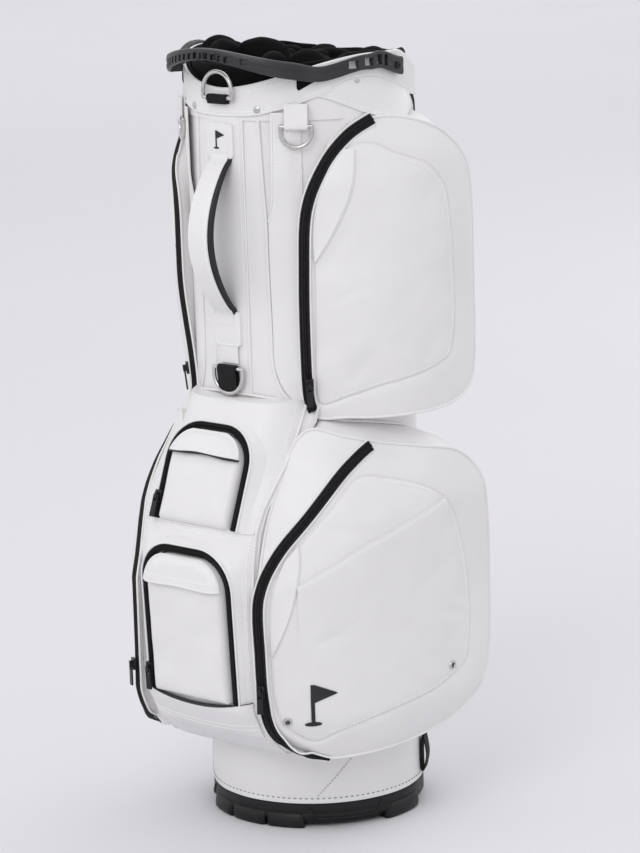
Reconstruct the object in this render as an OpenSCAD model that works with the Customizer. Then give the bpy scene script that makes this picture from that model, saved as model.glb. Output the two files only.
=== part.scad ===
// Golf staff bag with a cart base.
// Frame: +Z up, origin at the middle of the base's resting face, -Y towards
// the spine (the side with the grab handle), +X towards the right side pockets.
// Angles called "a" are degrees around the tube, 0 at the spine, + to the right.

/* [Tube] */
// Radius of the tube's skin at the base
base_r = 127; // [118:1:134]
// Radius of the tube's skin at the collar
top_r = 133; // [127:1:138]
// Height where the tube stands in the base moulding
tube_bottom = 30; // [24:1:40]
// Height of the tube's top edge
tube_top = 868; // [860:1:870]
// Thickness of the outer skin
skin_t = 3; // [2:0.5:3]
// Thickness of the stiff inner liner
liner_t = 3; // [2:0.5:4]

/* [Base] */
// Height of the moulded feet
foot_h = 11; // [9:1:13]
// How far the base's upstand reaches up inside the tube
upstand_h = 26; // [18:1:30]

/* [Collar] */
// Height of the rim at the spine, where it is lowest
rim_low = 889; // [885:1:895]
// How far the rim climbs towards the sides
rim_rise = 36; // [30:1:40]
// How far the rim falls again towards the back
rim_fall = 22; // [14:1:26]
// Lower edge of the collar band
collar_bottom = 856; // [852:1:860]

/* [Divider] */
// Top of the padded divider bars
divider_top = 934; // [925:1:938]
// Depth of the padded bars
bar_h = 52; // [40:1:60]
// Thickness of the padded bars
bar_t = 12; // [10:1:14]
// Distance of the outer cross walls from the middle wall
row_pitch = 60; // [55:1:64]

/* [Pockets] */
// Wall thickness of the side pockets
wall = 3.5; // [3:0.5:4.5]
// Distance of the front face from the axis at its fullest height
front_reach = 222.5; // [221:0.5:223]
// Half width of the front block
front_half_w = 88; // [86:1:90]
// Width of a zipper tape
zip_w = 11; // [8:1:12]
// Height that a zipper stands above its panel
zip_h = 3; // [2:0.5:4]

/* [Hardware] */
// Wire radius of the metal rings
wire_r = 2.5; // [2:0.25:2.5]
// Radial clearance between a ring's bar and its keeper
bar_gap = 0.08; // [0.05:0.01:0.1]
// Radius of the collar rivets' heads
rivet_r = 4; // [3:0.5:5]

/* [Hidden] */
$fn = 96;
eps = 0.4;

// ---- helpers -------------------------------------------------------------
function skin_r(z) = base_r + (top_r - base_r) * (z - tube_bottom) / (tube_top - tube_bottom);
function cyl(a, r, z) = [r * sin(a), -r * cos(a), z];
function unit(v) = v / norm(v);
function clamp01(t) = min(max(t, 0), 1);
function ease(t) = clamp01(t) * clamp01(t) * (3 - 2 * clamp01(t));
function between(t, lo, hi) = lo + (hi - lo) * ease(t);
function rim_z(a) = rim_low + rim_rise * pow(sin(min(abs(a), 80) * 90 / 80), 1.8)
    - rim_fall * ease((abs(a) - 98) / 28);
function curve_at(p, q, r, s, t) = 0.5 * (2 * q + (r - p) * t
    + (2 * p - 5 * q + 4 * r - s) * t * t + (3 * q - p - 3 * r + s) * t * t * t);
function closed_curve(p, n) = let (m = len(p)) [for (i = [0:m - 1]) for (k = [0:n - 1])
    curve_at(p[(i + m - 1) % m], p[i], p[(i + 1) % m], p[(i + 2) % m], k / n)];
function open_curve(p, n) = let (m = len(p))
    [for (i = [0:m - 2]) for (k = [0:n - 1 + (i == m - 2 ? 1 : 0)])
        curve_at(p[max(i - 1, 0)], p[i], p[i + 1], p[min(i + 2, m - 1)], k / n)];

// A solid from a stack of rings, each ring anticlockwise seen from the stack's end.
module stack(rings) {
    n = len(rings[0]);
    m = len(rings);
    sides = [for (j = [0:m - 2]) for (i = [0:n - 1]) let (k = (i + 1) % n)
        each [[j * n + i, (j + 1) * n + i, (j + 1) * n + k], [j * n + i, (j + 1) * n + k, j * n + k]]];
    caps = [for (i = [1:n - 2]) each [[0, i, i + 1], [(m - 1) * n, (m - 1) * n + i + 1, (m - 1) * n + i]]];
    polyhedron(points = [for (r = rings) each r], faces = concat(sides, caps));
}

// A domed shell, open towards the tube: outer and inner rings run from the
// open foot to the last ring round the crown, and each side closes at a crown point.
module domed_shell(outer, inner, crown_out, crown_in) {
    n = len(outer[0]);
    m = len(outer);
    off = n * m;
    quads_out = [for (j = [0:m - 2]) for (i = [0:n - 1]) let (k = (i + 1) % n)
        each [[j * n + i, (j + 1) * n + i, (j + 1) * n + k], [j * n + i, (j + 1) * n + k, j * n + k]]];
    quads_in = [for (q = quads_out) [off + q[0], off + q[2], off + q[1]]];
    rim = [for (i = [0:n - 1]) let (k = (i + 1) % n) each [[i, k, off + k], [i, off + k, off + i]]];
    fans = [for (i = [0:n - 1]) let (k = (i + 1) % n, b = (m - 1) * n)
        each [[b + i, 2 * off, b + k], [off + b + i, off + b + k, 2 * off + 1]]];
    polyhedron(points = concat([for (r = outer) each r], [for (r = inner) each r], [crown_out, crown_in]),
        faces = concat(quads_out, quads_in, rim, fans));
}

// A flat tape of width w and height h, laid along points on a surface; "out" is
// the direction away from the surface at each point.
module tape(points, outs, w, h) {
    m = len(points);
    stack([for (i = [0:m - 1])
        let (t = unit(points[min(i + 1, m - 1)] - points[max(i - 1, 0)]),
            b = unit(cross(t, outs[i])), o = unit(cross(b, t)))
        [points[i] - b * w / 2, points[i] + b * w / 2,
            points[i] + b * w * 0.32 + o * h, points[i] - b * w * 0.32 + o * h]]);
}

// A part of a ring wall between two angles, with radii that follow the tube.
module wrap(a0, a1, z0, z1, gap, t) {
    rotate([0, 0, a0 - 90]) rotate_extrude(angle = a1 - a0)
        polygon([[skin_r(z0) + gap, z0], [skin_r(z0) + gap + t, z0],
            [skin_r(z1) + gap + t, z1], [skin_r(z1) + gap, z1]]);
}

module at_angle(a, r, z) { rotate([0, 0, a]) translate([0, -r, z]) children(); }
module mirrored() { mirror([1, 0, 0]) children(); }

// ---- base ----------------------------------------------------------------
base_lip_r = base_r + 1.5;
upstand_r = base_r - 7;
upstand_in_r = upstand_r - 3;
floor_z = 4;
floor_top = 9;
foot_depth = 26;
// Each foot spans two angles around the tube.
foot_spans = [[-11, 11], [13, 33], [-33, -13], [81, 109], [-109, -81], [147, 167],
    [-167, -147], [169, 191]];

module base_shell() {
    rotate_extrude() polygon([[0, floor_z], [base_lip_r - 6, floor_z], [base_lip_r - 6, foot_h - 3],
        [base_lip_r, foot_h - 1], [base_lip_r, tube_bottom - eps], [upstand_r, tube_bottom - eps],
        [upstand_r, tube_bottom + upstand_h], [upstand_in_r, tube_bottom + upstand_h],
        [upstand_in_r, floor_top], [0, floor_top]]);
}

module foot(a0, a1) {
    rotate([0, 0, a0 - 90]) rotate_extrude(angle = a1 - a0)
        polygon([[base_lip_r - foot_depth, 0], [base_lip_r - 2, 0], [base_lip_r + 1.5, foot_h],
            [base_lip_r - 6.5, foot_h], [base_lip_r - 6.5, floor_z + eps],
            [base_lip_r - foot_depth, floor_z + eps]]);
}

module base_moulding() {
    hub_r = 42;
    rib = [76, 4, 3.6];
    color("#1b1b1c") {
        base_shell();
        for (s = foot_spans) foot(s[0], s[1]);
        cylinder(r = hub_r, h = floor_z + eps);
        for (a = [22.5:45:337.5]) rotate([0, 0, a]) translate([hub_r - 12, -rib[1] / 2, 0.8]) cube(rib);
    }
}

module base_pad() {
    color("#202022") translate([0, 0, floor_top + 0.2]) cylinder(r = upstand_in_r - 1, h = 6);
}

// ---- tube ----------------------------------------------------------------
module tube_wall(z0, z1, outer_in, t) {
    difference() {
        translate([0, 0, z0]) cylinder(h = z1 - z0, r1 = skin_r(z0) - outer_in, r2 = skin_r(z1) - outer_in);
        translate([0, 0, z0])
            cylinder(h = z1 - z0, r1 = skin_r(z0) - outer_in - t, r2 = skin_r(z1) - outer_in - t);
    }
}

module tube_liner() { color("#2a2a2c") tube_wall(tube_bottom, tube_top, skin_t + eps, liner_t); }
module body_skin() { color("#f3f3f2") tube_wall(tube_bottom, tube_top, 0, skin_t); }
module hem_band() { color("#f5f5f4") tube_wall(tube_bottom, 96, -1.8, 1.6); }
module spine_panel() { color("#f6f6f5") wrap(-11.5, 11.5, 532, collar_bottom - 1, 0.3, 2.4); }
module rear_panel() { color("#f1f1f0") wrap(152, 208, 110, collar_bottom - 1, 0.3, 5); }

rear_zip_path = [[141, 500], [140, 600], [140, 700], [139, 790], [134, 838], [121, 849]];
module rear_zip() {
    route = open_curve(rear_zip_path, 5);
    tape([for (p = route) cyl(p[0], skin_r(p[1]) + 0.4, p[1])], [for (p = route) cyl(p[0], 1, 0)],
        zip_w * 0.7, zip_h);
}
module rear_zippers() {
    color("#151515") {
        rear_zip();
        mirrored() rear_zip();
    }
}

// ---- collar --------------------------------------------------------------
collar_r = top_r + 3.2;
lining_in_r = top_r - 6;

// A ring wall whose top edge follows the rim, "drop" below it.
module rim_wall(r0, r1, z0, drop) {
    n = 72;
    sections = [for (j = [0:n - 1]) let (a = j * 360 / n, top = rim_z(a > 180 ? 360 - a : a) - drop)
        [cyl(a, r0, z0), cyl(a, r1, z0), cyl(a, r1, top), cyl(a, r0, top)]];
    faces = [for (j = [0:n - 1]) for (i = [0:3]) let (k = (i + 1) % 4, q = (j + 1) % n)
        each [[j * 4 + i, q * 4 + k, q * 4 + i], [j * 4 + i, j * 4 + k, q * 4 + k]]];
    polyhedron(points = [for (s = sections) each s], faces = faces);
}

module collar_band() { color("#f6f6f5") rim_wall(top_r + 0.4, collar_r, collar_bottom, 0); }
module collar_lining() { color("#161617") rim_wall(lining_in_r, top_r + 0.1, tube_top + 0.6, 1.5); }

// Each rivet's angle and how far it sits below the rim.
rivets = [[-71, 31], [-21, 31], [21, 31], [71, 31]];
module collar_rivets() {
    color("#b9bcc0") for (p = rivets)
        at_angle(p[0], collar_r + 0.1, rim_z(p[0]) - p[1])
            rotate([90, 0, 0]) cylinder(r1 = rivet_r, r2 = rivet_r * 0.6, h = 1.8);
}

// ---- divider -------------------------------------------------------------
divider_r = lining_in_r - 1;
divider_in_r = divider_r - 7;
bar_z = divider_top - bar_h;
inner_split = 55;
outer_split = 38;
sleeve_t = 1.6;
sleeve_foot = 18;

module divider_ring() {
    color("#141415") difference() {
        translate([0, 0, bar_z - 6]) cylinder(r = divider_r, h = bar_h - 8);
        translate([0, 0, bar_z - 7]) cylinder(r = divider_in_r, h = bar_h);
    }
}

// The walls between the club wells, inside radius r: three across, and the
// short ones between them.
module well_walls(t, z0, h, r) {
    for (y = [-row_pitch, 0, row_pitch]) {
        half = sqrt(pow(r, 2) - pow(abs(y) + t / 2, 2));
        translate([-half, y - t / 2, z0]) cube([2 * half, t, h]);
    }
    for (side = [-1, 1]) {
        for (x = [-inner_split, 0, inner_split]) {
            y0 = t / 2 + 0.3;
            translate([x - t / 2, side > 0 ? y0 : -row_pitch + y0, z0]) cube([t, row_pitch - 2 * y0, h]);
        }
        for (x = [-outer_split, outer_split]) {
            y0 = row_pitch + t / 2 + 0.3;
            y1 = sqrt(pow(r, 2) - pow(abs(x) + t / 2, 2));
            translate([x - t / 2, side > 0 ? y0 : -y1, z0]) cube([t, y1 - y0, h]);
        }
    }
}

module divider_bars() { color("#0f0f10") well_walls(bar_t, bar_z, bar_h, divider_in_r - 0.4); }
module divider_sleeves() {
    color("#2b2c2e") well_walls(sleeve_t, sleeve_foot, bar_z - sleeve_foot - 0.5, upstand_in_r - 0.8);
}

// ---- hoop handle ---------------------------------------------------------
hoop_half_x = 135;
hoop_reach = 168;
hoop_end = 99;
hoop_w = 15;
function hoop_r(a) =
    pow(pow(abs(sin(a)) / hoop_half_x, 2.5) + pow(abs(cos(a)) / hoop_reach, 2.5), -1 / 2.5);
function hoop_top(a) =
    937 - 19 * ease(abs(a) / 50) + 11 * ease((abs(a) - 50) / 26) - 12 * ease((abs(a) - 80) / 20);
function hoop_tall(a) = 14 + 6 * ease(abs(a) / 40) + 4 * ease((abs(a) - 72) / 16);

function hoop_out(a) = max(hoop_r(a), collar_r + 9);
function hoop_in(a) = max(hoop_r(a) - hoop_w + 4 * ease((abs(a) - 80) / 19), collar_r + 0.3);

// The hoop's cross-section at one angle, from its inner foot round to its inner top.
function hoop_section(a) =
    let (inner = hoop_in(a), outer = hoop_out(a), h = hoop_tall(a), z = hoop_top(a))
    [cyl(a, inner, z - h * 0.55), cyl(a, outer - 3, z - h), cyl(a, outer, z - h * 0.7),
        cyl(a, outer, z - h * 0.3), cyl(a, outer - 4, z), cyl(a, inner + 3, z - 1), cyl(a, inner, z - 4)];

module hoop_handle() {
    color("#18181a") stack([for (i = [0:44]) hoop_section(-hoop_end + i * hoop_end / 22)]);
}

screw_a = 94;
module hoop_screws() {
    color("#707276") for (s = [-1, 1])
        at_angle(s * screw_a, hoop_out(screw_a) + 0.4, hoop_top(screw_a) - hoop_tall(screw_a) / 2)
            rotate([90, 0, 0]) difference() {
                cylinder(r = 4, h = 1.6);
                translate([0, 0, 0.8]) cylinder(r = 1.8, h = 2, $fn = 6);
            }
}

// ---- grab handle ---------------------------------------------------------
spine_out = 2.8;
handle_top = 848;
handle_bottom = 586;
patch_h = 41;
grip_bow = 38;
patch_half_a = 8.2;
function grip_z(t) = handle_top - patch_h - 3 - t * (handle_top - handle_bottom - 2 * patch_h - 6);
function grip_y(t) = skin_r(700) + spine_out + 4.6 + grip_bow * pow(sin(180 * t), 0.8);

module handle_patch(z0) { wrap(-patch_half_a, patch_half_a, z0, z0 + patch_h, spine_out + 0.2, 3); }
module handle_top_patch() { color("#f7f7f6") handle_patch(handle_top - patch_h); }
module handle_bottom_patch() { color("#f7f7f6") handle_patch(handle_bottom); }
module handle_grip() {
    color("#f4f4f3") stack([for (i = [0:20]) let (t = i / 20, y = -grip_y(t), z = grip_z(t),
        w = 13 + 2 * sin(180 * t), h = 3.4 + 1.4 * sin(180 * t))
        [[-w, y + h, z], [-w - 1, y, z], [-w + 3, y - h, z],
            [w - 3, y - h, z], [w + 1, y, z], [w, y + h, z]]]);
}

// ---- rings ---------------------------------------------------------------
// A D-ring in the local X-Z plane: straight bar along X at the origin, bow towards -Z.
module d_ring(half_w, drop) {
    straight = drop - half_w;
    rotate([0, 90, 0]) translate([0, 0, -half_w]) cylinder(r = wire_r, h = 2 * half_w);
    for (s = [-1, 1]) {
        translate([s * half_w, 0, 0]) sphere(r = wire_r);
        if (straight > 0) translate([s * half_w, 0, -straight]) cylinder(r = wire_r, h = straight);
    }
    translate([0, 0, -max(straight, 0)]) rotate([90, 0, 0]) rotate([0, 0, 180])
        rotate_extrude(angle = 180) translate([half_w, 0]) circle(r = wire_r, $fn = 32);
}

// A folded webbing loop that holds a ring's bar.
module keeper(w, h, below) {
    difference() {
        union() {
            rotate([0, 90, 0]) translate([0, 0, -w / 2]) cylinder(r = wire_r + 2.2, h = w);
            translate([-w / 2, 1.2, below ? -h : 0]) cube([w, 3.4, h]);
        }
        rotate([0, 90, 0]) translate([0, 0, -w]) cylinder(r = wire_r + bar_gap, h = 2 * w);
    }
}

ring_out = wire_r + 2.4;
top_ring_y = -(collar_r + ring_out);
top_ring_z = 878;
low_ring_z = 560;
low_ring_y = -(skin_r(low_ring_z) + spine_out + 0.3 + ring_out);
towel_a = 40;
towel_r = collar_r + ring_out;
towel_z = 846;
big_half = 22.5;
small_half = 18;

module top_ring_keeper() { color("#19191a") translate([0, top_ring_y, top_ring_z]) keeper(28, 14, true); }
module top_ring() {
    color("#b9bcc0") translate([0, top_ring_y, top_ring_z]) rotate([180, 0, 0]) d_ring(big_half, 30);
}
module low_ring_keeper() { color("#19191a") translate([0, low_ring_y, low_ring_z]) keeper(28, 24, false); }
module low_ring() { color("#b9bcc0") translate([0, low_ring_y, low_ring_z]) d_ring(big_half, 30); }
module towel_tab() { color("#f6f6f5") at_angle(towel_a, towel_r, towel_z) keeper(26, 24, false); }
module towel_ring() { color("#b9bcc0") at_angle(towel_a, towel_r, towel_z) d_ring(small_half, 24); }

// ---- slip pockets beside the spine ---------------------------------------
module slip_sector(a0, a1, r0, r1, z0, z1) {
    rotate([0, 0, a0 - 90]) rotate_extrude(angle = a1 - a0)
        polygon([[r0, z0], [r1, z0], [r1, z1], [r0, z1]]);
}
slip_span = [24, 40];
slip_bottom = 600;
slip_top = towel_z - 32;
module slip_pocket() {
    color("#f4f4f3") difference() {
        slip_sector(slip_span[0], slip_span[1], top_r + 0.4, top_r + 5.2, slip_bottom, slip_top);
        slip_sector(slip_span[0] - 4, slip_span[1] - 0.8, top_r - 2, top_r + 4,
            slip_bottom + 2, slip_top + 5);
    }
}

// ---- side pockets --------------------------------------------------------
upper_front_a = 42;
upper_rear_r = 205;
function upper_front_r(z) = 134 + 14 * ease((z - 505) / 170);
function upper_r(a, z) = let (f = upper_front_r(z))
    f + (upper_rear_r - f) * pow(clamp01((a - upper_front_a) / 77), 1.15)
    - 16 * ease((z - 780) / 90);
// Outlines are [angle, height], anticlockwise seen from outside the bag.
upper_face = [[44, 512], [62, 504], [86, 503], [106, 508], [117, 528], [121, 575], [121, 650],
    [120, 735], [116, 795], [106, 830], [92, 849], [78, 852], [64, 838], [52, 803], [44.5, 757],
    [42.5, 690], [42.5, 590]];
upper_foot = [[44.5, 515], [62, 511], [88, 509], [112, 512], [127, 530], [132, 580], [132, 660],
    [130, 745], [126, 815], [112, 852], [96, 853], [80, 853], [65, 850], [54, 818], [47, 765],
    [44.5, 690], [44.5, 590]];

function lower_full_r(a) =
    191 + (a < 83 ? 38.5 * pow((83 - a) / 58, 1.7) : 26 * pow((a - 83) / 37, 1.7));
function lower_r(a, z) = let (
    top_start = between((a - 16) / 64, 300, 400),
    low_start = between((a - 16) / 14, 215, 165),
    hi = 1 - 0.81 * pow(clamp01((z - top_start) / 226), 1.2),
    lo = 1 - 0.45 * pow(max((low_start - z) / 80, 0), 1.5))
    130 + (lower_full_r(a) - 130) * hi * lo;
lower_face = [[31, 130], [44, 106], [62, 105], [85, 112], [105, 130], [116, 160], [120, 205],
    [121, 300], [120, 378], [116, 424], [106, 451], [91, 463], [74, 473], [58, 484], [42.5, 494], [33, 466],
    [27.5, 400], [25.4, 325], [25.2, 235], [26.8, 168]];
lower_foot = [[45, 132], [52, 108], [66, 102], [88, 104], [112, 116], [128, 140], [134, 205],
    [135, 300], [134, 385], [129, 435], [116, 464], [98, 479], [80, 489], [62, 496], [46.5, 500],
    [45, 466], [45, 400], [45, 325], [45, 235], [45, 168]];

// Move an outline point towards a centre, by a length d in mm or to a share t of its way out.
function toward(p, c, d) = let (mm_per_degree = 2.6, v = [(p[0] - c[0]) * mm_per_degree, p[1] - c[1]])
    c + (p - c) * (1 - d / norm(v));
function slide_in(p, c, t) = c + (p - c) * t;

// Each ring round a pocket: its share of the way out, and how far it lies below the pocket's surface.
pocket_steps = [[1, 9], [0.985, 4], [0.95, 1], [0.85, 0], [0.6, -2], [0.3, -4]];
pocket_crown = 5;

module side_pocket(face, foot, mid, kind) {
    function out_r(p) = kind == "upper" ? upper_r(p[0], p[1]) : lower_r(p[0], p[1]);
    function skin_at(p) = skin_r(p[1]) + 2 * eps;
    face_curve = closed_curve(face, 3);
    foot_curve = closed_curve(foot, 3);
    outer = concat([[for (p = foot_curve) cyl(p[0], skin_at(p), p[1])]],
        [for (s = pocket_steps) [for (p = face_curve) let (q = slide_in(p, mid, s[0]))
            cyl(q[0], max(out_r(q) - s[1], skin_at(q) + 1.2), q[1])]]);
    inner = concat([[for (p = foot_curve) let (q = toward(p, mid, wall)) cyl(q[0], skin_at(q), q[1])]],
        [for (s = pocket_steps) [for (p = face_curve) let (q = slide_in(toward(p, mid, wall), mid, s[0]))
            cyl(q[0], max(out_r(q) - s[1] - wall, skin_at(q) + 0.3), q[1])]]);
    crown = out_r(mid) + pocket_crown;
    domed_shell(outer, inner, cyl(mid[0], crown, mid[1]), cyl(mid[0], crown - wall, mid[1]));
}

module upper_pocket() { color("#f7f7f6") side_pocket(upper_face, upper_foot, [84, 670], "upper"); }
module lower_pocket() {
    color("#f7f7f6") difference() {
        side_pocket(lower_face, lower_foot, [76, 300], "lower");
        lower_zip_tape(0.5, zip_w + 1, zip_h + 8);
    }
}

// ---- zippers on the side pockets -----------------------------------------
upper_zip_path = [[43.5, 522], [43, 590], [43, 680], [45.5, 757], [53, 800], [64, 834], [76, 848]];
lower_zip_path = [[44, 112], [33, 128], [27.5, 165], [25.8, 235], [26.2, 310], [31, 350], [45, 398],
    [62, 438], [78, 462]];

module upper_zipper() {
    route = open_curve(upper_zip_path, 4);
    color("#131313") tape([for (p = route) cyl(p[0], max(upper_r(p[0], p[1]), skin_r(p[1]) + 2) + 0.8, p[1])],
        [for (p = route) cyl(p[0] - 8, 1, 0)], zip_w, zip_h);
}
// The lower zipper lies in a shallow channel, which is this tape made wider and taller.
module lower_zip_tape(gap, w, h) {
    route = open_curve(lower_zip_path, 4);
    tape([for (p = route) cyl(p[0], lower_r(p[0], p[1]) + gap, p[1])],
        [for (p = route) cyl(p[0], 1, 0)], w, h);
}
module lower_zipper() { color("#131313") lower_zip_tape(0.8, zip_w, zip_h); }

// A zipper slider, body along local Z and back on the local +Y side.
slider_w = 9;
slider_l = 14;
pull_l = 26;
module slider_body() {
    color("#1a1a1b") difference() {
        union() {
            translate([-slider_w / 2, -3.6, -slider_l / 2]) cube([slider_w, 3.4, slider_l]);
            translate([-1.6, -7.4, -4]) cube([3.2, 4, 8]);
        }
        translate([-3, -5.5, 0]) rotate([0, 90, 0]) cylinder(r = 1 + bar_gap, h = 6);
    }
}
// The pull hangs from a pin through the slider's bridge.
module pull_tab() {
    color("#1c1c1d") {
        translate([-3.4, -5.5, 0]) rotate([0, 90, 0]) cylinder(r = 1, h = 6.8);
        for (s = [-1, 1]) translate([s > 0 ? 2 : -3.6, -6.5, -7]) cube([1.6, 2, 8]);
        translate([-3.6, -6.5, -pull_l]) cube([7.2, 2, pull_l - 7]);
    }
}

// Where the sliders stop: low on the straight stretch of each side zipper.
upper_stop = [43, 545];
upper_run = 100;
lower_stop = [26, 200];
upper_tilt = atan2(upper_front_r(upper_stop[1] + upper_run) - upper_front_r(upper_stop[1]), upper_run);
module on_upper_zipper() {
    at_angle(upper_stop[0], upper_front_r(upper_stop[1]) + 6.4, upper_stop[1])
        rotate([upper_tilt, 0, 0]) children();
}
module on_lower_zipper() {
    at_angle(lower_stop[0], lower_r(lower_stop[0], lower_stop[1]) + 5, lower_stop[1]) children();
}
module upper_slider() { on_upper_zipper() slider_body(); }
module upper_pull() { on_upper_zipper() pull_tab(); }
module lower_slider() { on_lower_zipper() slider_body(); }
module lower_pull() { on_lower_zipper() pull_tab(); }

// Each eyelet's angle and height; the other side's are mirrored.
eyelets = [[33, 160], [98, 193]];
eyelet_out = 3.2;
module pocket_eyelets() {
    color("#a9acb0") for (s = [1, -1]) for (p = eyelets)
        at_angle(s * p[0], lower_r(p[0], p[1]) + eyelet_out, p[1]) rotate([90, 0, 0]) difference() {
            cylinder(r = 4.5, h = 1.6);
            translate([0, 0, -1]) cylinder(r = 2.2, h = 4);
        }
}

// ---- front block ---------------------------------------------------------
front_foot = 99;
front_head = 524;
// Levels up the block: height, and the distance of its middle and of its side edges from the axis plane.
front_levels = [[front_foot, 100, 98], [104, 160, 152], [136, 192, 184], [172, 213, 200], [250, 217.5, 204],
    [345, front_reach, 201], [384, 203.5, 194], [410, 193.5, 180], [457, 177, 138], [490, 163.5, 116],
    [front_head, 147, 99]];
front_back_y = -80;
door_t = 5;
shelf_z = 362;
block_end_t = 8;

// Frame of a front pocket's face: bottom and top of its middle line, half width and corner radius.
cooler_bottom = [205, 384];
cooler_top = [165.5, 489];
valuables_bottom = [214.3, 178];
valuables_top = [223.2, 352];
cooler_half = 57;
valuables_half = 62;
arch_corner = 38;

function lean(b, t) = atan2(b[0] - t[0], t[1] - b[1]);
function span(b, t) = norm(t - b);
module on_face(b, t) { translate([0, -b[0], b[1]]) rotate([-lean(b, t), 0, 0]) children(); }
// A panel with a straight foot on the local X axis and two rounded upper corners.
module arch(half, h, t, r = arch_corner) {
    rotate([90, 0, 0]) linear_extrude(t) {
        translate([-half, 0]) square([2 * half, h - r]);
        translate([-half + r, 0]) square([2 * half - 2 * r, h]);
        for (x = [r - half, half - r]) translate([x, h - r]) circle(r = r);
    }
}

function front_at(z, k) = lookup(z, [for (level = front_levels) [level[0], level[k]]]);
// The block's section at one height: flat across the pockets, rounded to the side edges.
function front_ring(z, inset) = let (w = front_half_w - inset, middle = front_at(z, 1) - inset,
    edge = front_at(z, 2) - inset, p = between((400 - z) / 60, 4.3, 7))
    concat([[-w, front_back_y, z]],
        [for (i = [-8:8]) let (x = sin(i * 90 / 8))
            [w * x, -(edge + (middle - edge) * (1 - pow(abs(x), p))), z]],
        [[w, front_back_y, z]]);

module front_solid(inset, z0, z1) {
    between_ends = [for (level = front_levels) if (level[0] > z0 && level[0] < z1) level[0]];
    heights = concat([z0], between_ends, [z1]);
    stack([for (z = heights) front_ring(z, inset)]);
}

// The opening behind a front pocket's panel.
module mouth(b, t, half) { on_face(b, t) translate([0, 14, 0]) arch(half, span(b, t), 28); }

module front_block() {
    color("#f4f4f3") difference() {
        front_solid(0, front_foot, front_head);
        difference() {
            front_solid(wall, front_foot + block_end_t, front_head - block_end_t);
            translate([-front_half_w, -front_reach, shelf_z]) cube([2 * front_half_w, front_reach, wall]);
        }
        cylinder(r = skin_r(front_head) + eps, h = front_head + 10);
        mouth(cooler_bottom, cooler_top, cooler_half);
        mouth(valuables_bottom, valuables_top, valuables_half);
    }
}

module front_door(b, t, half) {
    color("#f8f8f7") on_face(b, t) translate([0, -0.5, 0.6]) arch(half - 0.7, span(b, t) - 1.4, door_t);
}
module cooler_door() { front_door(cooler_bottom, cooler_top, cooler_half - 1); }
module valuables_door() { front_door(valuables_bottom, valuables_top, valuables_half - 1); }

module arch_zip(b, t, half) {
    h = span(b, t);
    color("#131313") on_face(b, t) translate([0, -0.4, 0]) difference() {
        arch(half + 7, h + 7, zip_h, arch_corner + 7);
        translate([0, 1, -1]) arch(half + 0.6, h + 1.6, zip_h + 2);
    }
}
module cooler_zipper() { arch_zip(cooler_bottom, cooler_top, cooler_half); }
module valuables_zipper() { arch_zip(valuables_bottom, valuables_top, valuables_half); }

module front_slider(b, t, half) { on_face(b, t) translate([-half - 4, -4, 26]) children(); }
module cooler_slider() { front_slider(cooler_bottom, cooler_top, cooler_half) slider_body(); }
module cooler_pull() { front_slider(cooler_bottom, cooler_top, cooler_half) pull_tab(); }
module valuables_slider() { front_slider(valuables_bottom, valuables_top, valuables_half) slider_body(); }
module valuables_pull() { front_slider(valuables_bottom, valuables_top, valuables_half) pull_tab(); }

// The band across the foot of the front block, with its section as [distance from the axis, height].
band_half = 62;
module kangaroo_band() {
    color("#f5f5f4") rotate([90, 0, -90]) linear_extrude(2 * band_half, center = true)
        polygon([[194, 134], [214.8, 173.5], [218.4, 171.6], [197.6, 132]]);
}

// ---- webbing loops at the foot -------------------------------------------
loop_a = 120;
loop_z = 62;
loop_w = 22;
module slot_2d(r, l) {
    translate([0, l / 2]) circle(r = r);
    translate([0, -l / 2]) circle(r = r);
    translate([-r, -l / 2]) square([2 * r, l]);
}
module webbing_loop() {
    color("#141415") at_angle(loop_a, base_r + 12.5, loop_z) rotate([90, 0, 90])
        translate([0, 0, -loop_w / 2]) linear_extrude(loop_w) difference() {
            slot_2d(10, 24);
            slot_2d(7.4, 24);
        }
}

base_moulding();
base_pad();
tube_liner();
body_skin();
hem_band();
spine_panel();
rear_panel();
rear_zippers();
collar_band();
collar_lining();
divider_ring();
divider_bars();
divider_sleeves();
hoop_handle();
hoop_screws();
handle_top_patch();
handle_grip();
handle_bottom_patch();
top_ring_keeper();
top_ring();
low_ring_keeper();
low_ring();
towel_tab();  // towel_tab_right
towel_ring();  // towel_ring_right
mirrored() towel_tab();  // towel_tab_left
mirrored() towel_ring();  // towel_ring_left
collar_rivets();
slip_pocket();  // slip_pocket_right
mirrored() slip_pocket();  // slip_pocket_left
upper_pocket();  // upper_pocket_right
upper_zipper();  // upper_zipper_right
upper_slider();  // upper_slider_right
upper_pull();  // upper_pull_right
mirrored() upper_pocket();  // upper_pocket_left
mirrored() upper_zipper();  // upper_zipper_left
mirrored() upper_slider();  // upper_slider_left
mirrored() upper_pull();  // upper_pull_left
lower_pocket();  // lower_pocket_right
lower_zipper();  // lower_zipper_right
lower_slider();  // lower_slider_right
lower_pull();  // lower_pull_right
mirrored() lower_pocket();  // lower_pocket_left
mirrored() lower_zipper();  // lower_zipper_left
mirrored() lower_slider();  // lower_slider_left
mirrored() lower_pull();  // lower_pull_left
front_block();
cooler_door();
cooler_zipper();
cooler_slider();
cooler_pull();
valuables_door();
valuables_zipper();
valuables_slider();
valuables_pull();
kangaroo_band();
pocket_eyelets();
webbing_loop();  // webbing_loop_right
mirrored() webbing_loop();  // webbing_loop_left
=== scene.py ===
import math

import bmesh
import bpy
import numpy as np
from mathutils import Matrix, Vector, noise


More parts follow.
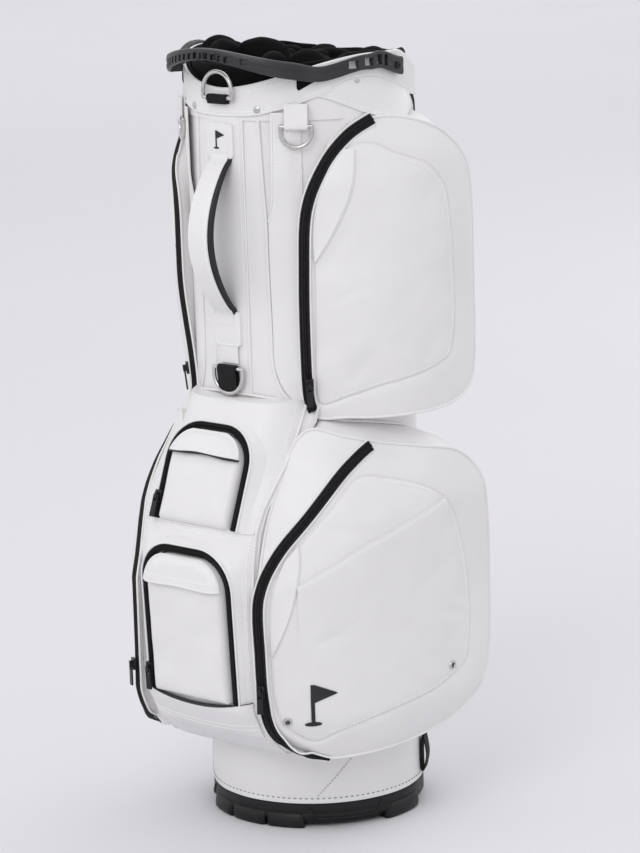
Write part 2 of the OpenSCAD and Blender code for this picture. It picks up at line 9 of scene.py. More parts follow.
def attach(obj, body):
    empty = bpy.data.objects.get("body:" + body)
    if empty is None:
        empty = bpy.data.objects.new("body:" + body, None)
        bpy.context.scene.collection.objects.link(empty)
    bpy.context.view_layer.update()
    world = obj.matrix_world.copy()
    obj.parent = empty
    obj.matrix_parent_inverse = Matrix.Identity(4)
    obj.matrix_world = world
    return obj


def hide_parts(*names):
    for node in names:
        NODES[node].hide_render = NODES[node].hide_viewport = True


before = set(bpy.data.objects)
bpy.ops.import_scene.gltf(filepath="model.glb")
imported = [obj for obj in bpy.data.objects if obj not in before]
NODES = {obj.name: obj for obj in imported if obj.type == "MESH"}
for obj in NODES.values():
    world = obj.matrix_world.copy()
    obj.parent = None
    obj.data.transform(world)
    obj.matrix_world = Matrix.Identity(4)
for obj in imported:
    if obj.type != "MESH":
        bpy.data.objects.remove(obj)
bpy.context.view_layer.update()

# Looks of the golf staff bag. Sizes are millimetres in the frame's axes, and Shape.piece
# turns them into metres. Angles called "a" are degrees round the tube, 0 at the spine and
# + to the right; heights are z. Left pieces are mirror images of right ones.
MM = 0.001
MM_PER_DEGREE = 2.6
FRONT = np.array([0.0, -1.0, 0.0])
UP = np.array([0.0, 0.0, 1.0])


# ---- lines and surfaces ----------------------------------------------------
def ease(t):
    t = np.clip(t, 0.0, 1.0)
    return t * t * (3 - 2 * t)


def between(t, low, high):
    return low + (high - low) * ease(t)


def unit(v):
    return v / np.maximum(np.linalg.norm(v, axis=-1, keepdims=True), 1e-9)


def cyl(a, r, z):
    a, r, z = np.broadcast_arrays(np.asarray(a, float), np.asarray(r, float), np.asarray(z, float))
    turn = np.radians(a)
    return np.stack([r * np.sin(turn), -r * np.cos(turn), z], axis=-1)


def spline(points, n=8, closed=False):
    """A smooth line through the points, n steps between neighbours."""
    p = np.asarray(points, float)
    m = len(p)
    line = []
    for i in range(m if closed else m - 1):
        four = [p[(i + k) % m] if closed else p[min(max(i + k, 0), m - 1)] for k in (-1, 0, 1, 2)]
        for k in range(n):
            t = k / n
            line.append(0.5 * (2 * four[1] + (four[2] - four[0]) * t
                               + (2 * four[0] - 5 * four[1] + 4 * four[2] - four[3]) * t * t
                               + (3 * four[1] - four[0] - 3 * four[2] + four[3]) * t ** 3))
    if not closed:
        line.append(p[-1])
    return np.array(line)


def evenly(points, step, closed=False):
    """The same line with its points about one step apart."""
    p = np.asarray(points, float)
    if closed:
        p = np.vstack([p, p[:1]])
    length = np.concatenate([[0], np.cumsum(np.linalg.norm(np.diff(p, axis=0), axis=1))])
    n = max(int(round(length[-1] / step)), 3)
    at = np.linspace(0, length[-1], n + 1)[:n if closed else n + 1]
    return np.stack([np.interp(at, length, p[:, k]) for k in range(p.shape[1])], axis=1)


def smooth_line(points, step=4):
    """A smooth line of [angle, height], its points about one step of millimetres apart."""
    stretch = np.array([MM_PER_DEGREE, 1.0])
    return evenly(spline(points, 10) * stretch, step) / stretch


def ripple(points, size, depth, seed):
    """Soft unevenness of a surface, the same on every run."""
    flat = np.asarray(points, float).reshape(-1, 3) / size + seed
    values = np.array([noise.noise(Vector(p)) for p in flat])
    return depth * values.reshape(np.shape(points)[:-1])


def outward(radius, a, z):
    """Unit normals of a surface given by its radius over angle and height."""
    half_turn, half_rise = 0.5, 1.5

    def at(da, dz):
        return cyl(a + da, radius(a + da, z + dz), z + dz)
    return unit(np.cross(at(half_turn, 0) - at(-half_turn, 0), at(0, half_rise) - at(0, -half_rise)))


def all_round(n):
    """n angles evenly round the tube, starting at the back."""
    return np.linspace(-180, 180, n, endpoint=False)


def wall(a, r, low, high, shares):
    """Rows of points up a wall, at shares of the way from low to high."""
    return [cyl(a, r, low + (high - low) * t) for t in shares]


def rolled(a, r, z, wide, high, start, end, n):
    """Rows of points over a rolled edge whose middle is at r and z."""
    rows = []
    for turn in np.radians(np.linspace(start, end, n)):
        rows.append(cyl(a, r + wide * math.cos(turn), z + high * math.sin(turn)))
    return rows


TUBE_FOOT = 30
TUBE_TOP = 868


def skin_r(z):
    return 127 + 6 * (np.asarray(z, float) - TUBE_FOOT) / (TUBE_TOP - TUBE_FOOT)


def on_skin(a, z, gap=0.0):
    a, z = np.broadcast_arrays(np.asarray(a, float), np.asarray(z, float))
    return cyl(a, skin_r(z) + gap, z), cyl(a, 1.0, 0.0)


# ---- meshes ----------------------------------------------------------------
class Shape:
    """Points and faces gathered for one mesh."""

    def __init__(self):
        self.points = np.zeros((0, 3))
        self.uvs = np.zeros((0, 2))
        self.faces = []
        self.slots = []

    def add(self, points, faces, uvs=None, slot=0):
        points = np.asarray(points, float).reshape(-1, 3)
        start = len(self.points)
        self.points = np.vstack([self.points, points])
        self.uvs = np.vstack([self.uvs, np.zeros((len(points), 2)) if uvs is None else uvs])
        self.faces += [tuple(start + i for i in face) for face in faces]
        self.slots += [slot] * len(faces)
        return start

    def join(self, other):
        start = len(self.points)
        self.points = np.vstack([self.points, other.points])
        self.uvs = np.vstack([self.uvs, other.uvs])
        self.faces += [tuple(start + i for i in face) for face in other.faces]
        self.slots += other.slots
        return self

    def grid(self, rows, wrap_u=False, wrap_v=False, slot=0):
        """Faces between rows of points; u runs from row to row and v along each row."""
        rows = np.asarray(rows, float)
        m, n = rows.shape[:2]
        along = np.linalg.norm(np.diff(rows, axis=0), axis=2).mean(axis=1)
        across = np.linalg.norm(np.diff(rows, axis=1), axis=2).mean(axis=0)
        u = np.concatenate([[0], np.cumsum(along)])
        v = np.concatenate([[0], np.cumsum(across)])
        uvs = np.stack(np.meshgrid(u, v, indexing="ij"), axis=-1).reshape(-1, 2) * MM
        faces = []
        for i in range(m if wrap_u else m - 1):
            here, ahead = i * n, (i + 1) % m * n
            for j in range(n if wrap_v else n - 1):
                k = (j + 1) % n
                faces.append((here + j, ahead + j, ahead + k, here + k))
        return self.add(rows, faces, uvs, slot)

    def tube(self, rows, slot=0):
        """Rows of points joined round into a tube, with a face over each end."""
        start = self.grid(rows, wrap_v=True, slot=slot)
        m, n = np.shape(rows)[:2]
        for first in (start, start + (m - 1) * n):
            self.faces.append(tuple(first + i for i in range(n)))
            self.slots.append(slot)
        return self

    def slab(self, outer, inner, wrap_v=False):
        """A closed body between two grids of the same size."""
        outer = np.asarray(outer, float)
        m, n = outer.shape[:2]
        first = self.grid(outer, wrap_v=wrap_v)
        second = self.grid(inner, wrap_v=wrap_v)
        rim = [[(0, j) for j in range(n)], [(m - 1, j) for j in range(n)]]
        if wrap_v:
            rim = [edge + edge[:1] for edge in rim]
        else:
            rim += [[(i, 0) for i in range(m)], [(i, n - 1) for i in range(m)]]
        for edge in rim:
            for (i, j), (k, l) in zip(edge, edge[1:]):
                a, b = i * n + j, k * n + l
                self.faces.append((first + a, first + b, second + b, second + a))
                self.slots.append(0)
        return self

    def mirrored(self):
        other = Shape()
        other.points = self.points * np.array([-1, 1, 1])
        other.uvs = self.uvs.copy()
        other.faces = [face[::-1] for face in self.faces]
        other.slots = list(self.slots)
        return other

    def both_sides(self):
        return Shape().join(self).join(self.mirrored())

    def sided(self, name, side, *materials, **more):
        """The piece of one side, made from a shape drawn on the right."""
        shape = self.mirrored() if side == "left" else self
        return shape.piece(name + "_" + side, *materials, **more)

    def piece(self, name, *materials, slot=None, body="bag", replaces=(), sharp=38, thick=0.0):
        """The finished object, riding on its body; a thick shape is a sheet that gets a back."""
        mesh = bpy.data.meshes.new(name)
        mesh.from_pydata((self.points * MM).tolist(), [], self.faces)
        layer = mesh.uv_layers.new(name="along_across")
        corners = np.zeros(len(mesh.loops), int)
        mesh.loops.foreach_get("vertex_index", corners)
        layer.data.foreach_set("uv", self.uvs[corners].ravel())
        mesh.polygons.foreach_set("material_index", self.slots)
        work = bmesh.new()
        work.from_mesh(mesh)
        bmesh.ops.remove_doubles(work, verts=work.verts, dist=2e-6)
        bmesh.ops.recalc_face_normals(work, faces=work.faces)
        if thick and leans_inward(work.faces):
            bmesh.ops.reverse_faces(work, faces=work.faces)
        work.to_mesh(mesh)
        work.free()
        mesh.shade_smooth()
        mesh.set_sharp_from_angle(angle=math.radians(sharp))
        for material in materials:
            mesh.materials.append(material)
        obj = bpy.data.objects.new(name, mesh)
        bpy.context.scene.collection.objects.link(obj)
        if thick:
            back = obj.modifiers.new("back", "SOLIDIFY")
            back.thickness = thick * MM
            back.offset = -1
        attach(obj, body)
        if replaces:
            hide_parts(*replaces)
        return obj


def leans_inward(faces):
    """Whether the faces of an open sheet point, on the whole, towards the tube's axis."""
    lean = 0
    for face in faces:
        middle = face.calc_center_median()
        lean += face.calc_area() * (face.normal.x * middle.x + face.normal.y * middle.y)
    return lean < 0


def round_bar(r, n=10):
    turn = np.linspace(0, 2 * np.pi, n, endpoint=False)
    return np.stack([r * np.cos(turn), r * np.sin(turn)], axis=1)


def squared(turn, power):
    """A circle pulled out towards its corners: the smaller the power, the squarer it is."""
    c, s = np.cos(turn), np.sin(turn)
    return np.stack([np.sign(c) * np.abs(c) ** power, np.sign(s) * np.abs(s) ** power], axis=1)


def flat_bar(width, height, low=0.0, n=20, square=5):
    """A strap's section with soft corners, standing from low to low + height."""
    x, y = squared(np.linspace(0, 2 * np.pi, n, endpoint=False) + np.pi / n, 2 / square).T
    return np.stack([x * width / 2, low + height / 2 + y * height / 2], axis=1)


def zip_bar(width=10.0, high=1.0):
    """Half tape, coil, half tape: the ridges that run along a closed zipper."""
    half = [[5, -1.2], [5, 0.9], [4.4, 1.3], [3.5, 1.2], [2.9, 0.5], [2.2, 0.5],
            [1.7, 1.9], [1.0, 2.3], [0.3, 1.9]]
    right = np.array(half) * [width / 10, high]
    return np.vstack([right, [[0, 1.4 * high]], right[::-1] * [-1, 1]])


def sweep(path, outs, section, closed=False, scale=None):
    """A section of [across, out] carried along a path; outs point away from what is below.

    scale gives the share of the section's width and height at each point of the path.
    """
    path = np.asarray(path, float)
    ahead = np.roll(path, -1, axis=0)
    behind = np.roll(path, 1, axis=0)
    if not closed:
        ahead[-1] = path[-1]
        behind[0] = path[0]
    along = unit(ahead - behind)
    across = unit(np.cross(along, np.broadcast_to(outs, path.shape)))
    out = unit(np.cross(across, along))
    wide, high = np.ones((2, len(path), 1)) if scale is None else np.array(scale)[..., None]
    x, y = np.asarray(section, float).T
    rows = path[:, None] + across[:, None] * (x * wide)[..., None] + out[:, None] * (y * high)[..., None]
    shape = Shape()
    if closed:
        shape.grid(rows, wrap_u=True, wrap_v=True)
    else:
        shape.tube(rows)
    return shape


def stitches(path, outs, length=2.9, pitch=4.2, r=0.42):
    """A row of thread stitches lying along a path."""
    path = np.asarray(path, float)
    outs = np.broadcast_to(outs, path.shape)
    both = evenly(np.hstack([path, outs * 0.001]), pitch)
    shape = Shape()
    ring = round_bar(1.0, 5)
    for p, q in zip(both, both[1:]):
        along = unit(q[:3] - p[:3])
        out = unit(p[3:])
        across = unit(np.cross(along, out))
        rows = []
        for at, size, rise in ((0, 0.35, -0.1), (0.18, 1, 0.25), (0.82, 1, 0.25), (1, 0.35, -0.1)):
            middle = p[:3] + along * length * at + out * rise
            rows.append(middle + (across[None] * ring[:, :1] + out[None] * ring[:, 1:] * 0.8) * r * size)
        shape.tube(rows)
    return shape


def line_on(surface, points, gap=0.0, step=4):
    """A line of [angle, height] laid on a surface: its points and their outward directions."""
    line = smooth_line(points, step)
    return surface(line[:, 0], line[:, 1], gap)


def cord_on(surface, points, gap, r):
    """A round cord laid on a surface along a line of [angle, height]."""
    return sweep(*line_on(surface, points, gap), round_bar(r))


def thread_on(surface, points, gap, step=4):
    """A row of stitches laid on a surface along a line of [angle, height]."""
    return stitches(*line_on(surface, points, gap, step))


def patch_on(surface, edge_a, edge_b, height, rows=12, step=5):
    """A grid between two lines of [angle, height] on a surface; height(t) is its rise from a to b."""
    a = smooth_line(edge_a, step)
    b = smooth_line(edge_b, step)
    at = np.linspace(0, 1, len(a))
    b = np.stack([np.interp(at, np.linspace(0, 1, len(b)), b[:, k]) for k in range(2)], axis=1)
    grid = []
    for t in np.linspace(0, 1, rows):
        mid = a + (b - a) * t
        grid.append(surface(mid[:, 0], mid[:, 1], height(t))[0])
    return np.array(grid)


# ---- materials -------------------------------------------------------------
class Look:
    """A node material under construction."""

    def __init__(self, name, **values):
        self.material = bpy.data.materials.new(name)
        self.material.use_nodes = True
        self.tree = self.material.node_tree
        self.tree.nodes.clear()
        self.shader = self.node("BsdfPrincipled", values)
        self.node("OutputMaterial", {"Surface": self.shader.outputs[0]})
        place = self.node("TexCoord")
        self.place = place.outputs["Object"]
        self.along = place.outputs["UV"]

    def node(self, kind, inputs=(), **settings):
        made = self.tree.nodes.new("ShaderNode" + kind)
        for key, value in settings.items():
            setattr(made, key, value)
        for key, value in dict(inputs).items():
            self.put(made.inputs[key.replace("_", " ") if isinstance(key, str) else key], value)
        return made

    def put(self, socket, value):
        if isinstance(value, bpy.types.NodeSocket):
            self.tree.links.new(value, socket)
        else:
            socket.default_value = value

    def noise(self, scale, detail=3.0, stretch=(1, 1, 1)):
        where = self.node("Mapping", {"Vector": self.place, "Scale": stretch}).outputs[0]
        return self.node("TexNoise", {"Vector": where, "Scale": scale, "Detail": detail}).outputs[0]

    def cells(self, scale, feature="F1"):
        made = self.node("TexVoronoi", {"Vector": self.place, "Scale": scale}, feature=feature)
        return made.outputs["Distance"]

    def ramp(self, factor, low, high, start=0.3, end=0.7):
        made = self.node("ValToRGB", {"Fac": factor})
        for element, place, value in zip(made.color_ramp.elements, (start, end), (low, high)):
            element.position = place
            element.color = (*value, 1) if np.ndim(value) else (value, value, value, 1)
        return made.outputs["Color"]

    def maths(self, operation, a, b=0.0):
        return self.node("Math", {0: a, 1: b}, operation=operation).outputs[0]

    def bump(self, height, depth_mm, strength=1.0, under=None):
        inputs = {"Height": height, "Distance": depth_mm * MM, "Strength": strength}
        if under is not None:
            inputs["Normal"] = under
        return self.node("Bump", inputs).outputs[0]

    def finish(self, **values):
        for key, value in values.items():
            self.put(self.shader.inputs[key.replace("_", " ")], value)
        return self.material


def leather(name, low, high, rough=0.44):
    """Synthetic leather: pebbled grain, faint clouding and a soft coat."""
    look = Look(name, IOR=1.48)
    cloud = look.noise(9, 4)
    grain = look.cells(620, "SMOOTH_F1")
    fine = look.noise(1900, 2)
    height = look.maths("ADD", look.maths("MULTIPLY", grain, 1.2), look.maths("MULTIPLY", fine, 0.5))
    colour = look.ramp(cloud, low, high)
    rough_map = look.ramp(look.noise(60, 4), rough - 0.05, rough + 0.09)
    return look.finish(Base_Color=colour, Roughness=rough_map, Normal=look.bump(height, 0.10, 0.55),
                       Coat_Weight=0.10, Coat_Roughness=0.35)


def plastic(name, colour, rough, texture=0.05, shine=0.5):
    """Moulded plastic with a fine spark-eroded texture and light scuffs."""
    look = Look(name, IOR=1.5)
    high = tuple(min(c * 1.5 + 0.004, 1) for c in colour)
    scuff = look.noise(35, 6, (1, 1, 3))
    rough_map = look.ramp(scuff, rough - 0.06, rough + 0.14)
    bump = look.bump(look.noise(1500, 3), texture, 0.6)
    return look.finish(Base_Color=look.ramp(look.noise(22, 4), colour, high), Roughness=rough_map,
                       Normal=bump, Specular_IOR_Level=shine)


def velour():
    """Short black pile with brushed patches."""
    look = Look("velour", Roughness=0.95)
    brushed = look.noise(16, 5, (1, 1, 0.5))
    colour = look.ramp(brushed, (0.0018, 0.0018, 0.002), (0.0065, 0.0065, 0.0072))
    pile = look.noise(1300, 4)
    return look.finish(Base_Color=colour, Normal=look.bump(pile, 0.5, 0.7), Sheen_Weight=0.05,
                       Sheen_Roughness=0.5, Sheen_Tint=(0.5, 0.5, 0.55, 1), Specular_IOR_Level=0.15)


def woven(name, colour, pitch, depth=0.25, sheen=0.15):
    """Woven yarns running along and across a strap or a cloth, painted lighter on the yarn crowns and darker
    in the hollows between them as light and shade.
    """
    look = Look(name, Roughness=0.8)
    axes = look.node("SeparateXYZ", {"Vector": look.along})
    step = 2 * math.pi / (pitch * MM)
    u = look.maths("SINE", look.maths("MULTIPLY", axes.outputs[0], step))
    v = look.maths("SINE", look.maths("MULTIPLY", axes.outputs[1], step * 0.5))
    weave = look.maths("ADD", look.maths("MULTIPLY", look.maths("MULTIPLY", u, v), 0.5), 0.5)
    fuzz = look.noise(900, 4)
    height = look.maths("ADD", weave, look.maths("MULTIPLY", fuzz, 0.35))
    # Painted light and shade: the colour follows the weave's height, bright on the crowns and dark in the
    # hollows.
    bright = tuple(c * 2.2 + 0.002 for c in colour)
    return look.finish(Base_Color=look.ramp(weave, colour, bright, 0.1, 0.9),
                       Normal=look.bump(height, depth, 0.8), Sheen_Weight=sheen, Specular_IOR_Level=0.25)


def cloth(name, colour, scale=900):
    """Plain nylon, woven too finely to follow a strap."""
    look = Look(name, Roughness=0.75)
    weave = look.maths("MULTIPLY", look.cells(scale), 1.4)
    bright = tuple(c * 1.8 + 0.004 for c in colour)
    return look.finish(Base_Color=look.ramp(look.noise(30, 5), colour, bright),
                       Normal=look.bump(weave, 0.15, 0.7), Sheen_Weight=0.2)


def zip_material():
    """Black zipper: woven tapes, and coil teeth across the middle."""
    look = Look("zipper_black", Roughness=0.5)
    axes = look.node("SeparateXYZ", {"Vector": look.along})
    step = 2 * math.pi / (1.6 * MM)
    teeth = look.maths("SINE", look.maths("MULTIPLY", axes.outputs[0], step))
    yarn = look.noise(1400, 3)
    height = look.maths("ADD", look.maths("MULTIPLY", teeth, 0.5), look.maths("MULTIPLY", yarn, 0.4))
    colour = look.ramp(look.noise(220, 3), (0.003, 0.003, 0.0035), (0.010, 0.010, 0.011))
    return look.finish(Base_Color=colour, Normal=look.bump(height, 0.22, 0.7), Specular_IOR_Level=0.25)


def metal(name, colour, rough, metallic=1.0):
    """Plated or lacquered metal with handling marks."""
    look = Look(name, Metallic=metallic)
    marks = look.noise(120, 6, (1, 3, 1))
    darker = tuple(c * 0.8 for c in colour)
    return look.finish(Base_Color=look.ramp(marks, darker, colour),
                       Roughness=look.ramp(marks, rough, rough + 0.15),
                       Normal=look.bump(look.noise(600, 4), 0.02, 0.5))


def foam():
    look = Look("foam", Roughness=0.9)
    # Painted shade: the colour is darkest at the middles of the same cells that the bump sinks into pits.
    colour = look.ramp(look.cells(420), (0.012, 0.012, 0.013), (0.03, 0.03, 0.032))
    return look.finish(Base_Color=colour, Normal=look.bump(look.cells(420), 0.8, 0.8))


def floor_material():
    look = Look("studio_paper", Roughness=0.8)
    colour = look.ramp(look.noise(0.7, 2), (0.728, 0.724, 0.748), (0.742, 0.738, 0.762))
    return look.finish(Base_Color=colour, Normal=look.bump(look.noise(40, 3), 0.05, 0.3))


WHITE = leather("white_leather", (0.765, 0.752, 0.750), (0.805, 0.793, 0.788))
EDGE_WHITE = leather("white_piping", (0.78, 0.77, 0.765), (0.83, 0.82, 0.815), 0.4)
# Black edging for the handle core and the pocket edges; on the cooler flap's edge and the kangaroo band's
# mouth its black is partly painted shade.
BLACK_EDGE_AND_SHADE = leather("black_binding", (0.004, 0.004, 0.0045), (0.010, 0.010, 0.011), 0.55)
# Painted shade: the thread colours are darkened from white, the hem's row most of all, to stand for the
# shade in the stitch holes and the dips the stitches sit in.
SHADED_THREAD = woven("thread", (0.62, 0.62, 0.62), 0.8, 0.1)
SHADED_HEM_THREAD = woven("hem_thread_painted_shade", (0.20, 0.20, 0.20), 0.8, 0.1)
VELOUR = velour()
BASE_BLACK = plastic("base_plastic", (0.003, 0.003, 0.0035), 0.4, 0.08, 0.3)
HANDLE_BLACK = plastic("handle_plastic", (0.016, 0.016, 0.018), 0.36, 0.06)
LINER_BLACK = plastic("liner_plastic", (0.022, 0.022, 0.024), 0.5)
PRINT_BLACK = plastic("print_black", (0.008, 0.008, 0.009), 0.6, 0.01)
FOAM = foam()
SLEEVE = cloth("sleeve_nylon", (0.018, 0.018, 0.020))
LINING = cloth("pocket_lining", (0.05, 0.05, 0.055), 700)
WEBBING = woven("webbing_black", (0.003, 0.003, 0.0035), 1.6, 0.35, 0.04)
ZIPPER = zip_material()
LACQUER = metal("black_lacquer", (0.03, 0.03, 0.032), 0.28, 0.7)
NICKEL = metal("nickel", (0.66, 0.65, 0.63), 0.2)


# ---- carried-over CAD nodes -------------------------------------------------
def dress(node, material, bevel=0.0):
    """Give a CAD node its material, and soften its edges."""
    obj = NODES[node]
    obj.data.materials.clear()
    obj.data.materials.append(material)
    if bevel:
        soft = obj.modifiers.new("soft_edges", "BEVEL")
        soft.width = bevel * MM
        soft.segments = 2
        soft.limit_method = "ANGLE"
        soft.angle_limit = math.radians(40)
        soft.use_clamp_overlap = True


def dress_nodes():
    dress("base_moulding", BASE_BLACK, 0.9)
    dress("base_pad", FOAM, 1.0)
    dress("tube_liner", LINER_BLACK)
    dress("divider_sleeves", SLEEVE)
    dress("hoop_screws", LACQUER, 0.25)
    for name in NODES:
        if name.endswith(("_slider", "_pull")) or "_slider_" in name or "_pull_" in name:
            dress(name, LACQUER, 0.35)
    for name in ("top_ring", "low_ring", "towel_ring_right", "towel_ring_left"):
        dress(name, NICKEL)


# ---- base and tube -----------------------------------------------------------
SKIRT_R = 129.3
RECESS_LIP = [[36, 26.5], [40, 14], [44, 12.2], [70, 12.2], [74, 14], [78, 26.5]]


def base_skirt():
    """The moulded wall above the feet, with a parting line and the two strap recess lips."""
    a = all_round(240)
    profile = [[10.4, 128.6], [11.5, 129.2], [17, SKIRT_R], [17.8, 128.9], [18.6, SKIRT_R], [26.8, 129.1],
               [28.6, 128.6], [29.4, 127.2]]
    outer = [cyl(a, r, z) for z, r in profile]
    inner = [cyl(a, SKIRT_R - 3.1, z) for z, r in profile]
    shape = Shape().slab(outer, inner, wrap_v=True)
    for side in (-1, 1):
        lip = [[side * turn, z] for turn, z in RECESS_LIP]
        line = smooth_line(lip, 3)
        path, outs = cyl(line[:, 0], SKIRT_R, line[:, 1]), cyl(line[:, 0], 1, 0)
        shape.join(sweep(path, outs, round_bar(1.3, 8)))
    shape.piece("base_skirt", BASE_BLACK)


FOOT_SPANS = ((-11, 11), (13, 33), (-33, -13), (81, 109), (-109, -81), (147, 167), (-167, -147),
              (169, 191))


def foot_blocks():
    """The blocks that clasp the skirt over each foot, with bevelled tops and ends."""
    shape = Shape()
    profile = [[126.5, 0.4], [130.6, 0.6], [132.4, 2.6], [132.9, 8], [132.3, 13.5], [130.4, 17.6],
               [128.4, 19.0]]
    for start, end in FOOT_SPANS:
        a = np.linspace(start - 0.6, end + 0.6, 25)
        bevel = np.clip((np.abs(a - (start + end) / 2) - (end - start) / 2 + 1.6) / 2.2, 0, 1) ** 2
        outer = []
        for r, z in profile:
            pull_in = 0.9 * (r - 127.5) * bevel if r > 127 else 0
            outer.append(cyl(a, r - pull_in, z - 1.2 * bevel * (z > 15)))
        shape.join(Shape().slab(outer, [cyl(a, SKIRT_R - 3.3, z) for r, z in profile]))
    shape.piece("base_foot_blocks", BASE_BLACK)


def skin():
    """The skin of the tube, very slightly uneven over its liner."""
    a = all_round(180)
    z = np.linspace(TUBE_FOOT, TUBE_TOP, 150)
    flat = cyl(a[None], skin_r(z)[:, None], z[:, None])
    outs = cyl(a[None], 1.0, 0.0 * z[:, None])
    outer = flat + outs * ripple(flat, 55, 0.35, 3.0)[..., None]
    inner = cyl(a[None], (skin_r(z) - 2.6)[:, None], z[:, None])
    Shape().slab(outer, inner, wrap_v=True).piece("body_skin_panel", WHITE, replaces=["body_skin"])


def hem():
    """The turned hem above the base: stitched by its foot, rolled at its top, with a seam each side."""
    a = all_round(240)
    profile = [[30.2, 0.6], [30.8, 1.6], [33, 2.1], [36, 1.9], [37, 1.6], [38, 1.9], [60, 1.6], [84, 0.9],
               [92, 0.6], [96, 0.35]]
    outer = np.array([cyl(a, skin_r(z) + gap, z) for z, gap in profile])
    outer += cyl(a[None], 1.0, 0.0) * ripple(outer, 30, 0.5, 8.0)[..., None]
    inner = [cyl(a, skin_r(z) + 0.1, z) for z, gap in profile]
    Shape().slab(outer, inner, wrap_v=True).piece("hem_band_panel", WHITE, replaces=["hem_band"])
    row_z = 37
    turn = np.linspace(-180, 180, 400)
    rows = stitches(cyl(turn, skin_r(row_z) + 1.9, row_z), cyl(turn, 1.0, 0.0), 3.6, 7.0, 0.8)
    for side in (-1, 1):
        rows.join(thread_on(on_skin, [[side * 41, 40], [side * 52, 66], [side * 60, 86]], 2.3))
    rows.piece("hem_stitches", SHADED_HEM_THREAD)


def spine():
    """The padded panel down the front of the upper tube, piped down both sides."""
    half = 11.5
    a = np.linspace(-half, half, 25)
    z = np.linspace(531, 857, 83)
    edge = 1 - np.abs(a / half) ** 6
    rise = 1.0 + 2.0 * edge
    flat = cyl(a[None], (skin_r(z)[:, None] + rise[None]), z[:, None])
    swell = ripple(flat, 34, 0.7, 1.5)[..., None] * edge[None, :, None]
    outer = flat + cyl(a[None], 1.0, 0.0) * swell
    inner = cyl(a[None], (skin_r(z) + 0.2)[:, None], z[:, None])
    panel = Shape().slab(outer, inner).piece("spine_panel_pad", WHITE, replaces=["spine_panel"])
    cord, thread = Shape(), Shape()
    for side in (-1, 1):
        cord.join(cord_on(on_skin, [[side * 11.9, z] for z in (530, 700, 857)], 1.2, 1.5))
        thread.join(thread_on(on_skin, [[side * 10.2, z] for z in (532, 700, 856)], 2.8))
    cord.piece("spine_piping", EDGE_WHITE)
    thread.piece("spine_stitches", SHADED_THREAD)


SLIP_PIPE = [[20.8, 857], [21.6, 814], [22.4, 773], [23.2, 737], [23.4, 690], [24.1, 612], [24.4, 571],
             [26.4, 548], [30.4, 530], [38.4, 514], [44, 507]]
SLIP_HEM = [[28.4, 862], [28.2, 815], [27.7, 775], [26.6, 752], [24.6, 735]]
SLIP_SEAM = [[24.8, 735], [24.6, 690], [25.2, 612], [25.4, 571], [27.4, 550], [31.4, 533], [38, 518]]


def slip_panel(side):
    """The panel beside the spine: its free edge gapes at the top to make a slip pocket."""
    hem_line = smooth_line(SLIP_HEM)
    edge = np.vstack([hem_line, smooth_line(SLIP_SEAM)[1:]])
    far = 43.6 - 1.4 * ease((edge[:, 1] - 520) / 60)
    share = np.linspace(0, 1, 22)
    a = edge[:, :1] + (far - edge[:, 0])[:, None] * share
    z = np.broadcast_to(edge[:, 1:], a.shape)
    gape = 6.0 * ease((z - 728) / 60) * (1 - share) ** 1.6
    gape = gape + 2.2 * ease((z - 740) / 90) * np.sin(np.pi * share) ** 2
    flat, outs = on_skin(a, z, 0.9)
    waves = ripple(flat, 46, 1.1, 5.0) * np.sin(np.pi * np.clip(share * 1.1, 0, 1))[None]
    lift = gape + np.maximum(waves, -0.3)
    outer = flat + outs * (lift + 1.3)[..., None]
    inner = flat + outs * (lift - 0.3)[..., None]
    Shape().slab(outer, inner).sided("slip_panel", side, WHITE, replaces=["slip_pocket_" + side])
    n = len(hem_line)
    hem_outs = outs[:n, 0]
    sweep(outer[:n, 0] - hem_outs * 0.6, hem_outs, round_bar(1.5)).sided("slip_hem", side, EDGE_WHITE)
    stitches(outer[:n, 2], hem_outs).sided("slip_hem_stitches", side, SHADED_THREAD)
    cord_on(on_skin, SLIP_PIPE, 0.9, 2.0).sided("slip_piping", side, EDGE_WHITE)


def rear():
    """The padded panel down the back, with sewn cross channels."""
    a = np.linspace(152, 208, 57)
    z = np.linspace(110, 855, 220)
    channel_pitch = 93
    across = 1 - np.abs((a - 180) / 28) ** 8
    channel = 1 - 0.75 * np.exp(-(((z - 110) % channel_pitch - channel_pitch / 2) / 3.2) ** 2)
    ends = 1 - np.abs((z - 482.5) / 372.5) ** 60
    rise = 0.6 + (4.6 * across[None] * channel[:, None] * ends[:, None])
    flat = cyl(a[None], skin_r(z)[:, None] + rise, z[:, None])
    outer = flat + cyl(a[None], 1.0, 0.0) * (ripple(flat, 40, 0.8, 6.0) * across[None])[..., None]
    inner = cyl(a[None], (skin_r(z) + 0.2)[:, None], z[:, None])
    panel = Shape().slab(outer, inner).piece("rear_panel_pad", WHITE, replaces=["rear_panel"])
    frame_line = smooth_line([[152, 112], [151.4, 300], [151.4, 600], [151.6, 856]], 5)
    bottom = np.stack([np.linspace(151.6, 208.4, 40), np.full(40, 110.0)], axis=1)
    cords = Shape()
    for line in (frame_line, frame_line * [-1, 1], bottom):
        cords.join(sweep(*on_skin(line[:, 0], line[:, 1], 1.0), round_bar(1.6)))
    cords.piece("rear_panel_piping", EDGE_WHITE)


def rear_zippers():
    """The zippers beside the padded panel, each between two pipings."""
    route = [[141, 500], [140, 600], [140, 700], [139.5, 780], [136, 822], [128, 851], [116, 873]]
    zips = sweep(*line_on(on_skin, route, 1.4), zip_bar(8))
    zips.both_sides().piece("rear_zipper_tapes", ZIPPER, replaces=["rear_zippers"])
    pipes = Shape()
    for shift in (-2.3, 2.3):
        beside = []
        for a, z in route:
            beside.append([a + shift * (1 if z < 830 else 0.6), z + (0 if z < 800 else shift * 1.5)])
        pipes.join(cord_on(on_skin, beside, 0.7, 1.3))
    pipes.both_sides().piece("rear_zipper_piping", EDGE_WHITE)


